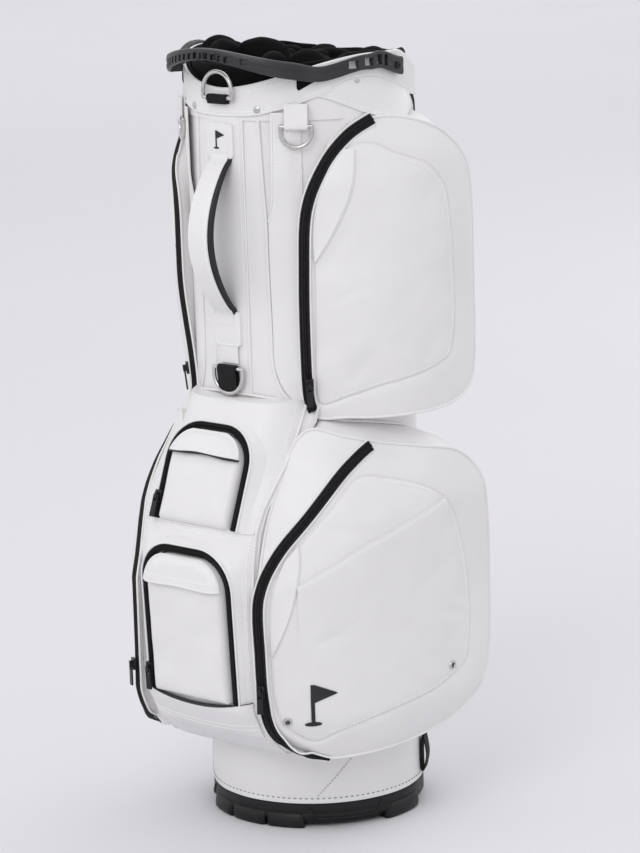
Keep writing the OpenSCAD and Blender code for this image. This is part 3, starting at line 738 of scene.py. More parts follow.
# ---- collar and divider --------------------------------------------------------
COLLAR_R = 136.2
RIM_LOW = 889
RIM_RISE = 36
RIM_FALL = 22
COLLAR_FOOT = spline([[0, 857.5], [17, 859], [26, 862.5], [34, 867], [42, 873], [48, 878.5], [54, 883],
                      [62, 891], [70, 896.5], [82, 896], [90, 890], [100, 881], [114, 871], [150, 861],
                      [180, 858]], 6)
SHOULDER_TOP = [[50, 881, 137.2], [58, 888.5, 137.4], [68, 896.5, 137.4], [82, 896.5, 137.4],
                [92, 889.5, 137.4], [100, 882, 137.4], [108, 875, 137.4]]
SHOULDER_LOW = [[50.4, 880.4, 136.4], [58, 875, 136.0], [66, 867, 137.0], [73, 859.5, 140], [79, 854.5, 145],
                [85, 850.5, 152], [91, 847, 160]]


def rim_z(a):
    turn = np.minimum(np.abs(a), 80) * 90 / 80
    return RIM_LOW + RIM_RISE * np.sin(np.radians(turn)) ** 1.8 - RIM_FALL * ease((np.abs(a) - 98) / 28)


def collar_foot(a):
    return np.interp(np.abs(a), COLLAR_FOOT[:, 0], COLLAR_FOOT[:, 1])


def collar():
    """The collar: an under panel, then the band with its rolled rim and its seams."""
    a = all_round(288)
    rim, foot = rim_z(a), collar_foot(a)
    under_out, under_in = [wall(a, r, 852, foot + 4, (0, 0.5, 1)) for r in (134.9, 133.2)]
    Shape().slab(under_out, under_in, wrap_v=True).piece("collar_under_panel", WHITE)
    shares = np.concatenate([[0, 0.02], np.linspace(0.06, 0.94, 14), [0.97]])
    outer = [cyl(a, COLLAR_R + 0.3 + 0.5 * min(t * 20, 1), foot + (rim - 3 - foot) * t) for t in shares]
    outer = np.array(outer + rolled(a, 134.6, rim - 2.2, 2.2, 2.4, 0, 165, 8))
    outer += cyl(a[None], 1.0, 0.0) * ripple(outer, 38, 0.7, 2.0)[..., None]
    inner = wall(a, 135.2, foot, rim - 3.4, np.linspace(0, 1, len(outer)))
    Shape().slab(outer, inner, wrap_v=True).piece("collar_band_panel", WHITE, replaces=["collar_band"])
    turn = np.linspace(-180, 180, 400)
    thread = Shape()
    for z in (rim_z(turn) - 7, collar_foot(turn) + 4):
        thread.join(stitches(cyl(turn, COLLAR_R + 0.9, z), cyl(turn, 1.0, 0.0)))
    thread.piece("collar_stitches", SHADED_THREAD)
    cord = sweep(cyl(a, COLLAR_R + 0.2, foot), cyl(a, 1.0, 0.0), round_bar(1.7), closed=True)
    cord.piece("collar_piping", EDGE_WHITE)


def shoulder(side):
    """The flap that runs from the collar down over the top of the upper pocket."""
    top, low = spline(SHOULDER_TOP, 8), spline(SHOULDER_LOW, 8)
    share = np.linspace(0, 1, 26)[:, None]
    a, z, r = [top[None, :, k] + (low[None, :, k] - top[None, :, k]) * share for k in range(3)]
    bow = np.sin(np.pi * share)
    flat = cyl(a, r + 2.0 * bow * ease((a - 50) / 25), z)
    outs = unit(cyl(a, 1.0, 0.55 * ease((a - 56) / 25)))
    outer = flat + outs * (ripple(flat, 30, 1.0, 7.0) * bow)[..., None]
    Shape().slab(outer, outer - outs * 1.8).sided("collar_shoulder", side, WHITE)
    edge = sweep(outer[-1], outs[-1], round_bar(1.4))
    edge.join(sweep(outer[:, -1], outs[:, -1], round_bar(1.2)))
    edge.sided("shoulder_edge", side, EDGE_WHITE)
    stitches(outer[-3], outs[-3]).sided("shoulder_stitches", side, SHADED_THREAD)
    shoulder_gusset(side, *low.T)


def shoulder_gusset(side, low_a, low_z, low_r):
    """The filler between the flap's lower edge and the pocket below it."""
    share = np.linspace(0, 1, 9)[:, None]
    a, z = low_a[None] * np.ones_like(share), low_z[None] + 2.0 - 24 * share
    seat = np.maximum(UPPER.radius(low_a, low_z - 22) - 4, skin_r(low_z) - 1.0)
    r = low_r[None] - 1.2 + (seat[None] - low_r[None] + 1.2) * share ** 1.5
    Shape().slab(cyl(a, r, z), cyl(a, r - 1.2, z)).sided("shoulder_gusset", side, WHITE)


def collar_notch(side):
    """The dark pile that shows where the flap leaves the collar."""
    a = np.linspace(40.8, 54, 20)
    foot = np.interp(a, [40.8, 41.6, 54], [889, 886, 901.5])
    top = 907
    shares = (0, 0.08, 1)
    notch = [cyl(a, COLLAR_R + gap, foot + (top - foot) * t) for t, gap in zip(shares, (0.8, 1.7, 1.5))]
    back = wall(a, COLLAR_R + 0.2, foot, top, shares)
    Shape().slab(notch, back).sided("collar_notch", side, VELOUR)


def lining():
    """Black pile inside the collar, rolled over just under the rim."""
    a = all_round(240)
    rim = rim_z(a)
    foot = 869
    outer = wall(a, 134.0, foot, rim - 3, np.linspace(0, 1, 12))
    outer += rolled(a, 130.6, rim - 3, 3.4, 3.2, 20, 160, 7)
    inner = wall(a, 127.4, foot, rim - 4, np.linspace(0, 1, 19))
    Shape().slab(outer, inner, wrap_v=True).piece("collar_pile_lining", VELOUR, replaces=["collar_lining"])


def divider_roll():
    """The padded ring round the divider: fuller at the sides, lower at the back."""
    a = all_round(240)
    lift = 6.0 * ease((np.abs(a) - 30) / 40) - 9.0 * ease((np.abs(a) - 125) / 35)
    rows = np.array(rolled(a, 121.6, 907.5 + lift, 5.0, 7.5, -40, 220, 16))
    rows += cyl(a[None], 0.6, 1.0) * ripple(rows, 26, 1.6, 4.0)[..., None]
    foot = 878
    ring_in, ring_out = cyl(a, 118.6, foot), cyl(a, 126.0, foot)
    shape = Shape()
    shape.grid(np.concatenate([[ring_out], rows, [ring_in], [ring_out]]), wrap_v=True)
    roll = shape.piece("divider_roll", VELOUR, replaces=["divider_ring"])


def pad_bar(start, end, crest, crest_end, width):
    """One padded span of the divider, arched up between the places where it is sewn."""
    start, end = np.array(start, float), np.array(end, float)
    along = unit(end - start)
    across = np.array([-along[1], along[0]])
    foot = 884.0
    fullness = 0.25 if crest > 935 else 0.4
    rows = []
    for t in np.linspace(0, 1, 17):
        swell = np.sin(np.pi * t)
        top = crest_end + (crest - crest_end) * swell ** fullness
        half = width / 2 * (1 - 0.16 * (1 - swell))
        middle = start + (end - start) * t
        section = [[-half * 0.75, foot]]
        for bow in np.radians(np.linspace(180, 0, 11)):
            section.append([half * math.cos(bow), top - half + half * math.sin(bow)])
        section.append([half * 0.75, foot])
        rows.append([[*(middle + across * x), z] for x, z in section])
    rows = np.array(rows)
    rows[..., 2] += ripple(rows, 17, 1.4, 9.0) * (rows[..., 2] > 900)
    return Shape().tube(rows)


def divider():
    """The padded walls between the wells: three across, with short ones between and beyond them."""
    reach = 118.0
    pitch, inner, outer = 60.0, 55.0, 38.0
    wide, plain = 13.0, 918.0
    bars = Shape()
    for y in (-pitch, 0, pitch):
        half = math.sqrt(reach ** 2 - (abs(y) + 6) ** 2)
        stops = [-half, -outer - 2, outer + 2, half] if y else [-half, -inner, 0, inner, half]
        for x0, x1 in zip(stops, stops[1:]):
            crest, foot = (plain, 907.0) if y >= 0 else (930.0, 908.0) if x0 > 0 else (940.5, 914.0)
            bars.join(pad_bar((x0, y), (x1, y), crest, foot, wide))
    for side in (-1, 1):
        for x in (-inner, 0, inner):
            bars.join(pad_bar((x, side * 4), (x, side * (pitch - 4)), plain, 907.0, wide))
        for x in (-outer, outer):
            far = math.sqrt(reach ** 2 - (abs(x) + 6) ** 2)
            crest = plain if side > 0 else 928.0 if x > 0 else 939.5
            width = 22.0 if crest > 930 else wide
            bars.join(pad_bar((x, side * (pitch + 4)), (x, side * far), crest, 910.0, width))
    pads = bars.piece("divider_pads", VELOUR, replaces=["divider_bars"])


def rivet(a, r, z, size):
    """A domed rivet head with a turned rim."""
    profile = [[1.0, -0.4], [1.05, 0.2], [1.0, 0.75], [0.9, 0.95], [0.84, 0.7], [0.6, 1.05], [0.3, 1.25],
               [0.04, 1.3]]
    turn = np.linspace(0, 2 * np.pi, 28, endpoint=False)
    middle = cyl(a, r, z)
    normal = unit(cyl(a, 1.0, 0))
    right = unit(cyl(a + 90, 1.0, 0))
    up = np.cross(normal, right)
    ring = right * np.cos(turn)[:, None] + up * np.sin(turn)[:, None]
    return Shape().tube([middle + normal * h * size / 4 + ring * size * s for s, h in profile])


def rivets():
    shape = Shape()
    for a in (71, 21):
        for side in (-1, 1):
            shape.join(rivet(side * a, COLLAR_R + 1.2, rim_z(a) - 31, 4.0))
    shape.piece("collar_rivet_heads", NICKEL, replaces=["collar_rivets"])


# ---- hoop handle ------------------------------------------------------------------
HOOP_END = 99


def hoop_r(a):
    """Outer radius of the hoop: a rounded oblong, pinched between its front and its ends."""
    s, c = np.abs(np.sin(np.radians(a))), np.abs(np.cos(np.radians(a)))
    oblong = ((s / 135) ** 2.5 + (c / 168) ** 2.5) ** -0.4
    return oblong - 8 * np.sin(np.pi * np.clip(np.abs(a) / 90, 0, 1)) ** 2


def hoop_top(a):
    """Height of the hoop's top: a wave down from the front, with a deeper dip on the right."""
    dip = 4.5 * ease((a - 38) / 16) * (1 - ease((a - 76) / 10))
    a = np.abs(a)
    return 937 - 19 * ease(a / 50) + 11 * ease((a - 50) / 26) - 12 * ease((a - 80) / 20) - dip


def hoop_size(a):
    """Inner radius, outer radius and height of the hoop at an angle."""
    outer = np.maximum(hoop_r(a), 145.2)
    a = np.abs(a)
    inner = np.maximum(hoop_r(a) - 15 + 4 * ease((a - 80) / 19), 136.9)
    tall = 14 + 6 * ease(a / 40) + 4 * ease((a - 72) / 16) - 2.5 * ease((a - 38) / 16)
    return inner, outer, tall


def block_at(a, r0, r1, z0, z1, width):
    """A box standing on a radius, for windows and ribs."""
    right = cyl(a + 90, 1.0, 0.0) * width / 2
    points = [cyl(a, r, z) + s * right for r in (r0, r1) for z in (z0, z1) for s in (-1, 1)]
    sides = [(0, 1, 3, 2), (4, 6, 7, 5), (0, 4, 5, 1), (2, 3, 7, 6), (0, 2, 6, 4), (1, 5, 7, 3)]
    shape = Shape()
    shape.add(points, sides)
    return shape


def hoop_windows():
    """What is cut from the hoop: windows at its sides, grip marks on its front and slots round it."""
    windows = Shape()
    for side in (-1, 1):
        for start, end in ((65.4, 70.4), (73.8, 78.4), (80.6, 83.6), (85.2, 87.2)):
            middle = (start + end) / 2
            top, tall = hoop_top(middle), hoop_size(middle)[2]
            windows.join(block_at(side * middle, 134, 150, top - tall + 4.5, top - 4.0, (end - start) * 2.5))
    for middle in (-2, 3, 8.5, 14, 20):
        out = hoop_size(middle)[1]
        high = hoop_top(middle) - 4
        windows.join(block_at(middle, out - 1.6, out + 3, high - 7, high, 9.0))
    for turn in np.arange(-84, 14, 3.1):
        out, tall = hoop_size(turn)[1:]
        z = hoop_top(turn)
        windows.join(block_at(turn, out - 4.5, out + 3, z - tall * 0.86, z - tall * 0.40, 4.0))
    return windows


def cut(obj, shape, name):
    """Cut a shape out of a piece, keeping the cutter's second material in the hollow."""
    mesh = bpy.data.meshes.new(name)
    mesh.from_pydata((shape.points * MM).tolist(), [], shape.faces)
    for material in obj.data.materials:
        mesh.materials.append(material)
    mesh.polygons.foreach_set("material_index", shape.slots)
    work = bmesh.new()
    work.from_mesh(mesh)
    bmesh.ops.recalc_face_normals(work, faces=work.faces)
    work.to_mesh(mesh)
    work.free()
    tool = bpy.data.objects.new(name, mesh)
    bpy.context.scene.collection.objects.link(tool)
    made = obj.modifiers.new(name, "BOOLEAN")
    made.operation = "DIFFERENCE"
    made.solver = "EXACT"
    made.use_self = True
    made.object = tool
    bpy.context.view_layer.update()
    finished = bpy.data.meshes.new_from_object(obj.evaluated_get(bpy.context.evaluated_depsgraph_get()))
    obj.modifiers.clear()
    obj.data = finished
    bpy.data.objects.remove(tool)


def hoop():
    """The moulded lift handle: a shell with windows at its sides and ribs under its front."""
    a = np.linspace(-HOOP_END, HOOP_END, 133)
    inner, outer, tall = hoop_size(a)
    top = hoop_top(a)
    section = [[0, 0.55], [0.35, 0.85], [0.75, 0.99], [0.93, 0.95], [1.0, 0.8], [1.0, 0.62], [0.965, 0.58],
               [0.965, 0.42], [1.0, 0.38], [1.0, 0.22], [0.94, 0.06], [0.8, 0.0], [0.3, 0.02], [0.1, 0.08],
               [0, 0.22]]
    rows = np.stack([cyl(a, inner + (outer - inner) * s, top - tall * d) for s, d in section], axis=1)
    body = Shape().tube(rows).piece("hoop_shell", HANDLE_BLACK, replaces=["hoop_handle"], sharp=30)
    cut(body, hoop_windows(), "hoop_windows")
    ribs = Shape()
    for turn in np.arange(-60, 45, 3.0):
        low, high, tall = hoop_size(turn)
        z = hoop_top(turn)
        ribs.join(block_at(turn, low + 0.4, low + 0.8 * (high - low), z - tall * 0.96, z - tall * 0.5, 3.2))
    ribs.piece("hoop_ribs", HANDLE_BLACK)


# ---- grab handle and straps ------------------------------------------------------------
def rounded_patch(surface, a0, a1, z0, z1, low, high):
    """A sewn patch with rounded corners; returns its body and its stitching."""
    middle = np.array([(a0 + a1) / 2, (z0 + z1) / 2])
    half = np.array([(a1 - a0) / 2, (z1 - z0) / 2])
    outline = squared(np.linspace(0, 2 * np.pi, 72, endpoint=False), 0.22)
    rows = []
    levels = ((1.0, low), (1.0, high - 0.7), (0.985, high - 0.15), (0.95, high), (0.9, high - 0.25),
              (0.85, high), (0.5, high + 0.2), (0.02, high + 0.25))
    for share, height in levels:
        at = middle + outline * half * share
        rows.append(surface(at[:, 0], at[:, 1], height)[0])
    at = middle + outline * half * 0.9
    at = np.vstack([at, at[:1]])
    return Shape().tube(rows), stitches(*surface(at[:, 0], at[:, 1], high - 0.1))


def grab_handle():
    """A black core under a white strap, bowed out between its two sewn patches."""
    t = np.linspace(0, 1, 61)
    z = np.concatenate([[822, 812], 804 - 174 * t, [622, 612]])
    bow = np.concatenate([[0, 0], np.sin(np.pi * t) ** 0.8, [0, 0]])
    y = -(skin_r(700) + 7.6 + 38.5 * bow)
    y[:2] += 4.0
    y[-2:] += 4.0
    path = np.stack([-1.5 + 0 * z, y, z], axis=1)
    wide = 1 + 0.14 * bow
    core = sweep(path, FRONT, flat_bar(31, 9.5, -7.4, 24, 4), scale=[wide, 0.75 + 0.35 * bow])
    core.piece("handle_core", BLACK_EDGE_AND_SHADE, slot="white_leather")
    outer = sweep(path, FRONT, flat_bar(26, 3.0, 1.4, 24, 4), scale=[wide, 0.8 + 0.3 * bow])
    outer.piece("handle_strap", WHITE, replaces=["handle_grip"])
    thread = Shape()
    between_patches = slice(4, -4)
    for side in (-1, 1):
        offset = np.stack([side * 10.6 * wide, -3.7 - 0.9 * bow, 0 * z], axis=1)
        thread.join(stitches((path + offset)[between_patches], FRONT))
    patches = (("handle_top_patch", 807, -9.2, 7.6), ("handle_bottom_patch", 586, -8.8, 8.2))
    for name, low, start, end in patches:
        body, rows = rounded_patch(on_skin, start, end, low, low + 41.5, 1.5, 6.8)
        thread.join(rows)
        body.piece(name + "_leather", WHITE, replaces=[name])
    thread.piece("handle_stitches", SHADED_THREAD)
    stations = ((600, 4.4, 600), (580, 4.0, 582), (565, 3.9, 566))
    tail = spline([[0, -(skin_r(z) + gap), at] for z, gap, at in stations], 5)
    sweep(tail, FRONT, flat_bar(28, 2.4, -0.6)).piece("low_strap", WHITE)


def folded_strap(name, centre, normal, width, tail, material, replaces):
    """A strap folded round a ring's bar, both tails sewn down; tail is + up or - down."""
    down = 1 if tail < 0 else -1
    tail = abs(tail)
    fold = [[3.5 * math.cos(t), 3.5 * math.sin(t)] for t in np.radians(np.linspace(0, 180, 15))]
    profile = [[1.3, -tail], [2.2, -tail * 0.45], [3.3, -3.0]] + fold
    profile += [[-2.9, -3.0], [-3.2, -tail * 0.6], [-3.3, -tail]]
    side = unit(np.cross(normal, UP))
    path = np.array([centre + normal * p + UP * q * down for p, q in profile])
    ahead = np.vstack([path[1:], path[-1:]]) - np.vstack([path[:1], path[:-1]])
    outs = unit(np.cross(ahead, side)) * down
    strap = sweep(path, outs, flat_bar(width, 1.6, -0.8, 16, 6))
    return strap.piece(name, material, replaces=[replaces])


def straps():
    """Webbing or leather keepers round the D-rings' bars."""
    rings = (("top_ring", -141.1, 878.0, 30, -7), ("low_ring", -138.79, 560.0, 29, -27))
    for name, y, z, width, tail in rings:
        folded_strap(name + "_webbing", np.array([0, y, z]), FRONT, width, tail, WEBBING, name + "_keeper")
    for side, a in (("right", 40.0), ("left", -40.0)):
        folded_strap("towel_tab_leather_" + side, cyl(a, 141.1, 846.0), cyl(a, 1.0, 0.0), 27, 26, WHITE,
                     "towel_tab_" + side)


def foot_loops():
    """Webbing loops at the rear of the foot."""
    section = [[-9, -20], [-9.2, 0], [-8.2, 15], [-6.0, 24], [-5.0, 18], [-3.2, 8], [-2.2, -3],
               [-3.8, -14], [-5.5, -21], [-7.5, -23]]
    line = evenly(spline(section, 6, closed=True), 2.5, closed=True)
    for side, a in (("right", 120.0), ("left", -120.0)):
        out = cyl(a, 1.0, 0.0)
        path = np.array([cyl(a, 139.5, 62.0) + out * x + UP * y for x, y in line])
        outs = np.array([out * x + UP * np.clip(y, -9, 9) for x, y in line])
        loop = sweep(path, unit(outs), flat_bar(22, 1.8, -0.9, 16, 6), closed=True)
        loop.piece("foot_webbing_" + side, WEBBING, replaces=["webbing_loop_" + side])


# ---- side pockets ------------------------------------------------------------------
class Pocket:
    """A side pocket: its radius over angle and height, its outline, foot, seam and middle."""

    def __init__(self, radius, face, foot, seam, middle, seed, dents):
        self.radius = radius
        self.dents = dents
        self.middle = np.array(middle, float)
        self.seed = seed
        self.reaches = [self.polar(line) for line in (face, foot, seam)]

    def polar(self, line):
        off = (spline(line, 12, closed=True) - self.middle) * [MM_PER_DEGREE, 1]
        turn = np.arctan2(off[:, 1], off[:, 0])
        order = np.argsort(turn)
        return turn[order], np.linalg.norm(off, axis=1)[order]

    def reach(self, which, turn):
        return np.interp(turn, *self.reaches[which], period=2 * np.pi)

    def share(self, a, z):
        x, y = (np.asarray(a) - self.middle[0]) * MM_PER_DEGREE, np.asarray(z) - self.middle[1]
        return np.hypot(x, y) / self.reach(0, np.arctan2(y, x))

    def dent(self, a, z):
        """Depth of the soft creases, each from one [angle, height] to another, with its depth."""
        depth = np.zeros(np.shape(a))
        for a0, z0, a1, z1, deep in self.dents:
            along = np.array([(a1 - a0) * MM_PER_DEGREE, z1 - z0], float)
            x, y = (a - a0) * MM_PER_DEGREE, z - z0
            at = np.clip((x * along[0] + y * along[1]) / (along @ along), 0, 1)
            away = np.hypot(x - at * along[0], y - at * along[1])
            depth += deep * (0.3 + 0.7 * np.sin(np.pi * at)) * np.exp(-(away / (5 + 5 * at)) ** 2)
        return depth

    def full(self, a, z):
        """Radius with the pocket's crown and its soft edge."""
        shares = [0, 0.3, 0.6, 0.85, 0.95, 1.0, 1.1]
        crown = np.interp(self.share(a, z), shares, [5, 4, 2.2, 0.6, -0.2, -1.6, -5])
        return np.maximum(self.radius(a, z) + crown, skin_r(z) + 1.2)

    def surface(self, a, z, gap=0.0):
        a, z = np.broadcast_arrays(np.asarray(a, float), np.asarray(z, float))
        flat, outs = cyl(a, self.full(a, z), z), outward(self.full, a, z)
        calm = np.clip((1 - self.share(a, z)) * 7, 0.15, 1)
        waves = ripple(flat, 62, 2.6, self.seed) + ripple(flat, 24, 0.8, self.seed + 9) - self.dent(a, z)
        return flat + outs * (gap + waves * calm)[..., None], outs

    def at(self, turn, distance):
        """The angle and height in a direction from the pocket's middle, at a distance in millimetres."""
        a, z = self.middle
        return a + np.cos(turn) * distance / MM_PER_DEGREE, z + np.sin(turn) * distance

    def shell(self):
        """Rings from the middle out to the seam, the border, the rounded edge and down to the foot."""
        turn = np.linspace(-np.pi, np.pi, 300, endpoint=False)
        edge, foot, seam = [self.reach(k, turn) for k in range(3)]
        seam = np.minimum(seam, edge - 3)
        rows = []
        for share in np.linspace(0.03, 0.9, 24):
            rows.append(self.surface(*self.at(turn, seam * share))[0])
        for step in (-9, -5, -2.6, -1.2, -0.5, 0, 0.5, 1.2, 2.6):
            groove = 1.2 * math.exp(-(step / 0.9) ** 2) + 1.4 * math.exp(-(step / 5.0) ** 2)
            rise = 0.5 * math.exp(-((step + 2.6) / 1.4) ** 2)
            rows.append(self.surface(*self.at(turn, seam + step), rise - groove)[0])
        for share in (0.15, 0.35, 0.55, 0.75, 0.9, 1.0):
            rows.append(self.surface(*self.at(turn, seam + 2.6 + (edge - seam - 2.6) * share))[0])
        ea, ez = self.at(turn, edge)
        fa, fz = self.at(turn, foot)
        er, fr = self.full(ea, ez) - 3.5, skin_r(fz) + 0.9
        deep = np.clip((er - fr) / 60, 0, 1)
        for share in (0.0, 0.04, 0.12, 0.22, 0.34, 0.46, 0.58, 0.7, 0.82, 0.92, 1.0):
            bow = 5.0 * math.sin(math.pi * share) ** 0.8 * deep
            line = cyl(ea + (fa - ea) * share, er + (fr - er) * share, ez + (fz - ez) * share)
            sway = ripple(line, 26, 2.0, self.seed + 5) * math.sin(math.pi * share) * deep
            lift = np.stack([0 * turn, np.clip(np.cos(turn), 0, 1), np.sin(turn)], axis=1)
            rows.append(line + (bow + sway)[:, None] * lift)
        shape = Shape()
        start = shape.grid(rows, wrap_v=True)
        centre = shape.add(self.surface(*self.middle)[0], [])
        shape.faces += [(centre, start + i, start + (i + 1) % 300) for i in range(300)]
        shape.slots += [0] * 300
        return shape

    def outline(self, gap=0.0, radius=1.7):
        """Piping round the outline."""
        turn = np.linspace(-np.pi, np.pi, 260, endpoint=False)
        path, outs = self.surface(*self.at(turn, self.reach(0, turn) - 0.3), gap)
        return sweep(path, outs, round_bar(radius), closed=True)


def upper_front_r(z):
    return 134 + 14 * ease((z - 505) / 170)


def upper_r(a, z):
    front = upper_front_r(z)
    swell = (205 - front) * np.clip((a - 42) / 77, 0, 1) ** 1.15
    slope = 10 * ease((z - 770) / 70) * (1 - ease((a - 78) / 26))
    return front + swell - 16 * ease((z - 780) / 90) - slope


def lower_full_r(a):
    left = 38.5 * np.maximum((83 - a) / 58, 0) ** 1.7
    return 191 + left + 26 * np.maximum((a - 83) / 37, 0) ** 1.7


def lower_r(a, z):
    top_start = between((a - 16) / 64, 300, 400)
    low_start = between((a - 16) / 14, 215, 165)
    high = 1 - 0.81 * np.clip((z - top_start) / 226, 0, 1) ** 1.2
    low = 1 - 0.45 * np.maximum((low_start - z) / 80, 0) ** 1.5
    slope = 15 * ease((z - 385) / 80) * (1 - ease((a - 76) / 26))
    return 130 + (lower_full_r(a) - 130) * high * low - slope


UPPER = Pocket(
    upper_r,
    face=[[43, 511], [62, 504], [86, 503], [106, 508], [117, 528], [121, 575], [121, 650], [120, 735],
          [116, 795], [106, 830], [92, 849], [78, 852], [64, 838], [51, 803], [43, 757], [40.4, 690],
          [40.3, 590]],
    foot=[[43.5, 515], [62, 511], [88, 509], [112, 512], [127, 530], [132, 580], [132, 660], [130, 745],
          [126, 815], [112, 852], [96, 853], [80, 853], [65, 850], [54, 818], [46, 765], [43, 690],
          [43, 590]],
    seam=[[48, 520], [61, 529], [75, 540], [90, 549], [99.5, 559], [105, 574], [106.6, 626],
          [105.8, 666], [105, 719], [103.4, 759], [99, 782], [93.5, 798], [83, 812], [76, 823],
          [66, 822], [56, 800], [49, 760], [46.5, 700], [46, 620], [46, 550]],
    middle=[84, 670], seed=11.0,
    dents=[[49, 676, 62, 735, 1.8], [52, 640, 70, 665, 1.2], [60, 540, 70, 578, 1.6],
           [92, 560, 98, 600, 1.2], [66, 812, 78, 780, 1.6], [96, 770, 88, 735, 1.3]])
LOWER = Pocket(
    lower_r,
    face=[[31, 130], [44, 106], [62, 105], [85, 112], [105, 130], [116, 160], [120, 205], [121, 300],
          [120, 378], [116, 424], [106, 451], [91, 463], [74, 473], [58, 484], [42.5, 494], [33, 466],
          [27.5, 400], [25.4, 325], [25.2, 235], [26.8, 168]],
    foot=[[45, 132], [52, 108], [66, 102], [88, 104], [112, 116], [128, 140], [134, 205], [135, 300],
          [134, 385], [129, 435], [116, 464], [98, 479], [80, 489], [62, 496], [46.5, 500], [45, 466],
          [45, 400], [45, 325], [45, 235], [45, 168]],
    seam=[[40, 130], [50, 142], [64, 154], [84, 166], [98, 179], [105, 192], [107.2, 212], [108, 251],
          [106.6, 298], [103.6, 346], [100, 382], [94.5, 404], [86.5, 420], [72, 435], [60, 438],
          [48, 404], [35, 356], [29, 312], [28.5, 235], [30.5, 166]],
    middle=[76, 300], seed=23.0,
    dents=[[43, 392, 62, 372, 1.8], [55, 428, 70, 402, 1.4], [88, 404, 78, 392, 1.2],
           [84, 172, 74, 205, 1.5], [104, 250, 92, 268, 1.2], [40, 250, 52, 262, 1.4],
           [60, 160, 57, 190, 1.5]])
INSET = 2.2
UPPER_STITCHES = [[50 + INSET, 523 + INSET], [61, 529 + INSET * 2], [75, 540 + INSET * 2],
                  [90, 549 + INSET * 2], [99.5 - INSET, 559 + INSET], [105 - INSET, 574],
                  [106.6 - INSET, 626], [105.8 - INSET, 666], [105 - INSET, 719], [103.4 - INSET, 759],
                  [99 - INSET, 782 - INSET], [93.5 - INSET, 798 - INSET * 2], [83, 812 - INSET * 2]]
LOWER_STITCHES = [[46, 138 + INSET * 2], [64, 154 + INSET * 2], [84, 166 + INSET * 2],
                  [98 - INSET, 179 + INSET], [105 - INSET, 192], [107.2 - INSET, 212], [108 - INSET, 251],
                  [106.6 - INSET, 298], [103.6 - INSET, 346], [100 - INSET, 382], [94.5, 404 - INSET * 2],
                  [86.5, 420 - INSET * 2], [72, 435 - INSET * 2]]
UPPER_ZIP = [[44.6, 512], [42.4, 532], [41.6, 590], [42, 680], [43.8, 750], [51.9, 800], [64, 832.5],
             [76.2, 851]]
LOWER_ZIP = [[46, 103], [35, 119], [28.6, 146], [26.4, 190], [25.8, 240], [25.9, 310], [31, 357],
             [41.5, 401], [52.5, 439], [61.5, 461], [67.6, 472]]


def side_zip(name, pocket, route, side, width, lean, gap, taper=0):
    """A zipper between two white pipings, on a pocket's front edge, which leans towards the spine."""
    def zip_surface(a, z, gap):
        flat = cyl(a, np.maximum(pocket.radius(a, z), skin_r(z) + 2.5) + gap, z)
        inside = ease((1.0 - pocket.share(a, z)) / 0.06)[..., None]
        flat = flat + (pocket.surface(a, z, gap)[0] - flat) * inside
        return flat, outward(pocket.radius, a - lean * ease((a.max() - 20 - a) / 20 + 0.2), z)
    path, outs = line_on(zip_surface, route, gap, 3)
    far = np.linalg.norm(path - path[0], axis=1)
    thin = 0.3 + 0.7 * ease(far / taper) if taper else np.ones(len(path))
    tape = sweep(path, outs, zip_bar(width, 1.1), scale=[thin, thin])
    tape.sided(name + "_zipper_tape", side, ZIPPER, replaces=[name + "_zipper_" + side])
    across = unit(np.cross(unit(np.gradient(path, axis=0)), outs))
    reach = (width / 2 * thin + 1.2)[:, None]
    pipes = Shape()
    for shift in (-1, 1):
        pipes.join(sweep(path + across * shift * reach - outs * 0.9, outs, round_bar(1.25)))
    pipes.sided(name + "_zipper_piping", side, EDGE_WHITE)


def overlay(pocket, name, side, edge, far, high):
    """A layer sewn on a pocket: proud at its folded edge, flush at the far side."""
    def rise(t):
        return high * (1 - t) ** 1.3 * ease(t * 14 + 0.35) + 0.35 * ease(t * 14)
    outer = patch_on(pocket.surface, edge, far, rise, 22)
    inner = patch_on(pocket.surface, edge, far, lambda t: -0.9, 22)
    Shape().slab(outer, inner).sided(name, side, WHITE)
    cord_on(pocket.surface, edge, high * 0.35, 0.9).sided(name + "_edge", side, EDGE_WHITE)


def flag(surface, a, z, size, lift, mm_per_degree):
    """A plain golf-flag mark: a pole, a pennant and a hole."""
    shape = Shape()

    def region(left, right, rows=8):
        t = np.linspace(0, 1, rows)[:, None, None]
        grid = (np.array(left)[None] * (1 - t) + np.array(right)[None] * t) * size
        top, outs = surface(a + grid[..., 0] / mm_per_degree, z + grid[..., 1], lift)
        shape.slab(top, top - outs * 0.5)

    pole_left, pole_right, foot = -0.28, -0.19, -0.42
    steps = np.linspace(0, 1, 9)
    region([[pole_left, foot + 0.92 * s] for s in steps], [[pole_right, foot + 0.92 * s] for s in steps], 3)
    region([[pole_right, 0.5 - 0.44 * s] for s in steps], [[0.34, 0.28 - 0.02 * s] for s in steps])
    hole = [[0.2 * math.cos(t), -0.46 + 0.055 * math.sin(t)] for t in np.linspace(-np.pi / 2, np.pi / 2, 9)]
    region([[-0.235 - x, y] for x, y in hole], [[-0.235 + x, y] for x, y in hole])
    return shape


def pocket_shell(pocket, name, side, stitch_line):
    """The pocket's own surface, its piping and the stitching inside its seam."""
    pocket.shell().sided(name + "_shell", side, WHITE, replaces=[name + "_" + side], thick=2.4)
    pocket.outline(0.2).sided(name + "_piping", side, EDGE_WHITE)
    thread_on(pocket.surface, stitch_line, 0.2, 3).sided(name + "_stitches", side, SHADED_THREAD)


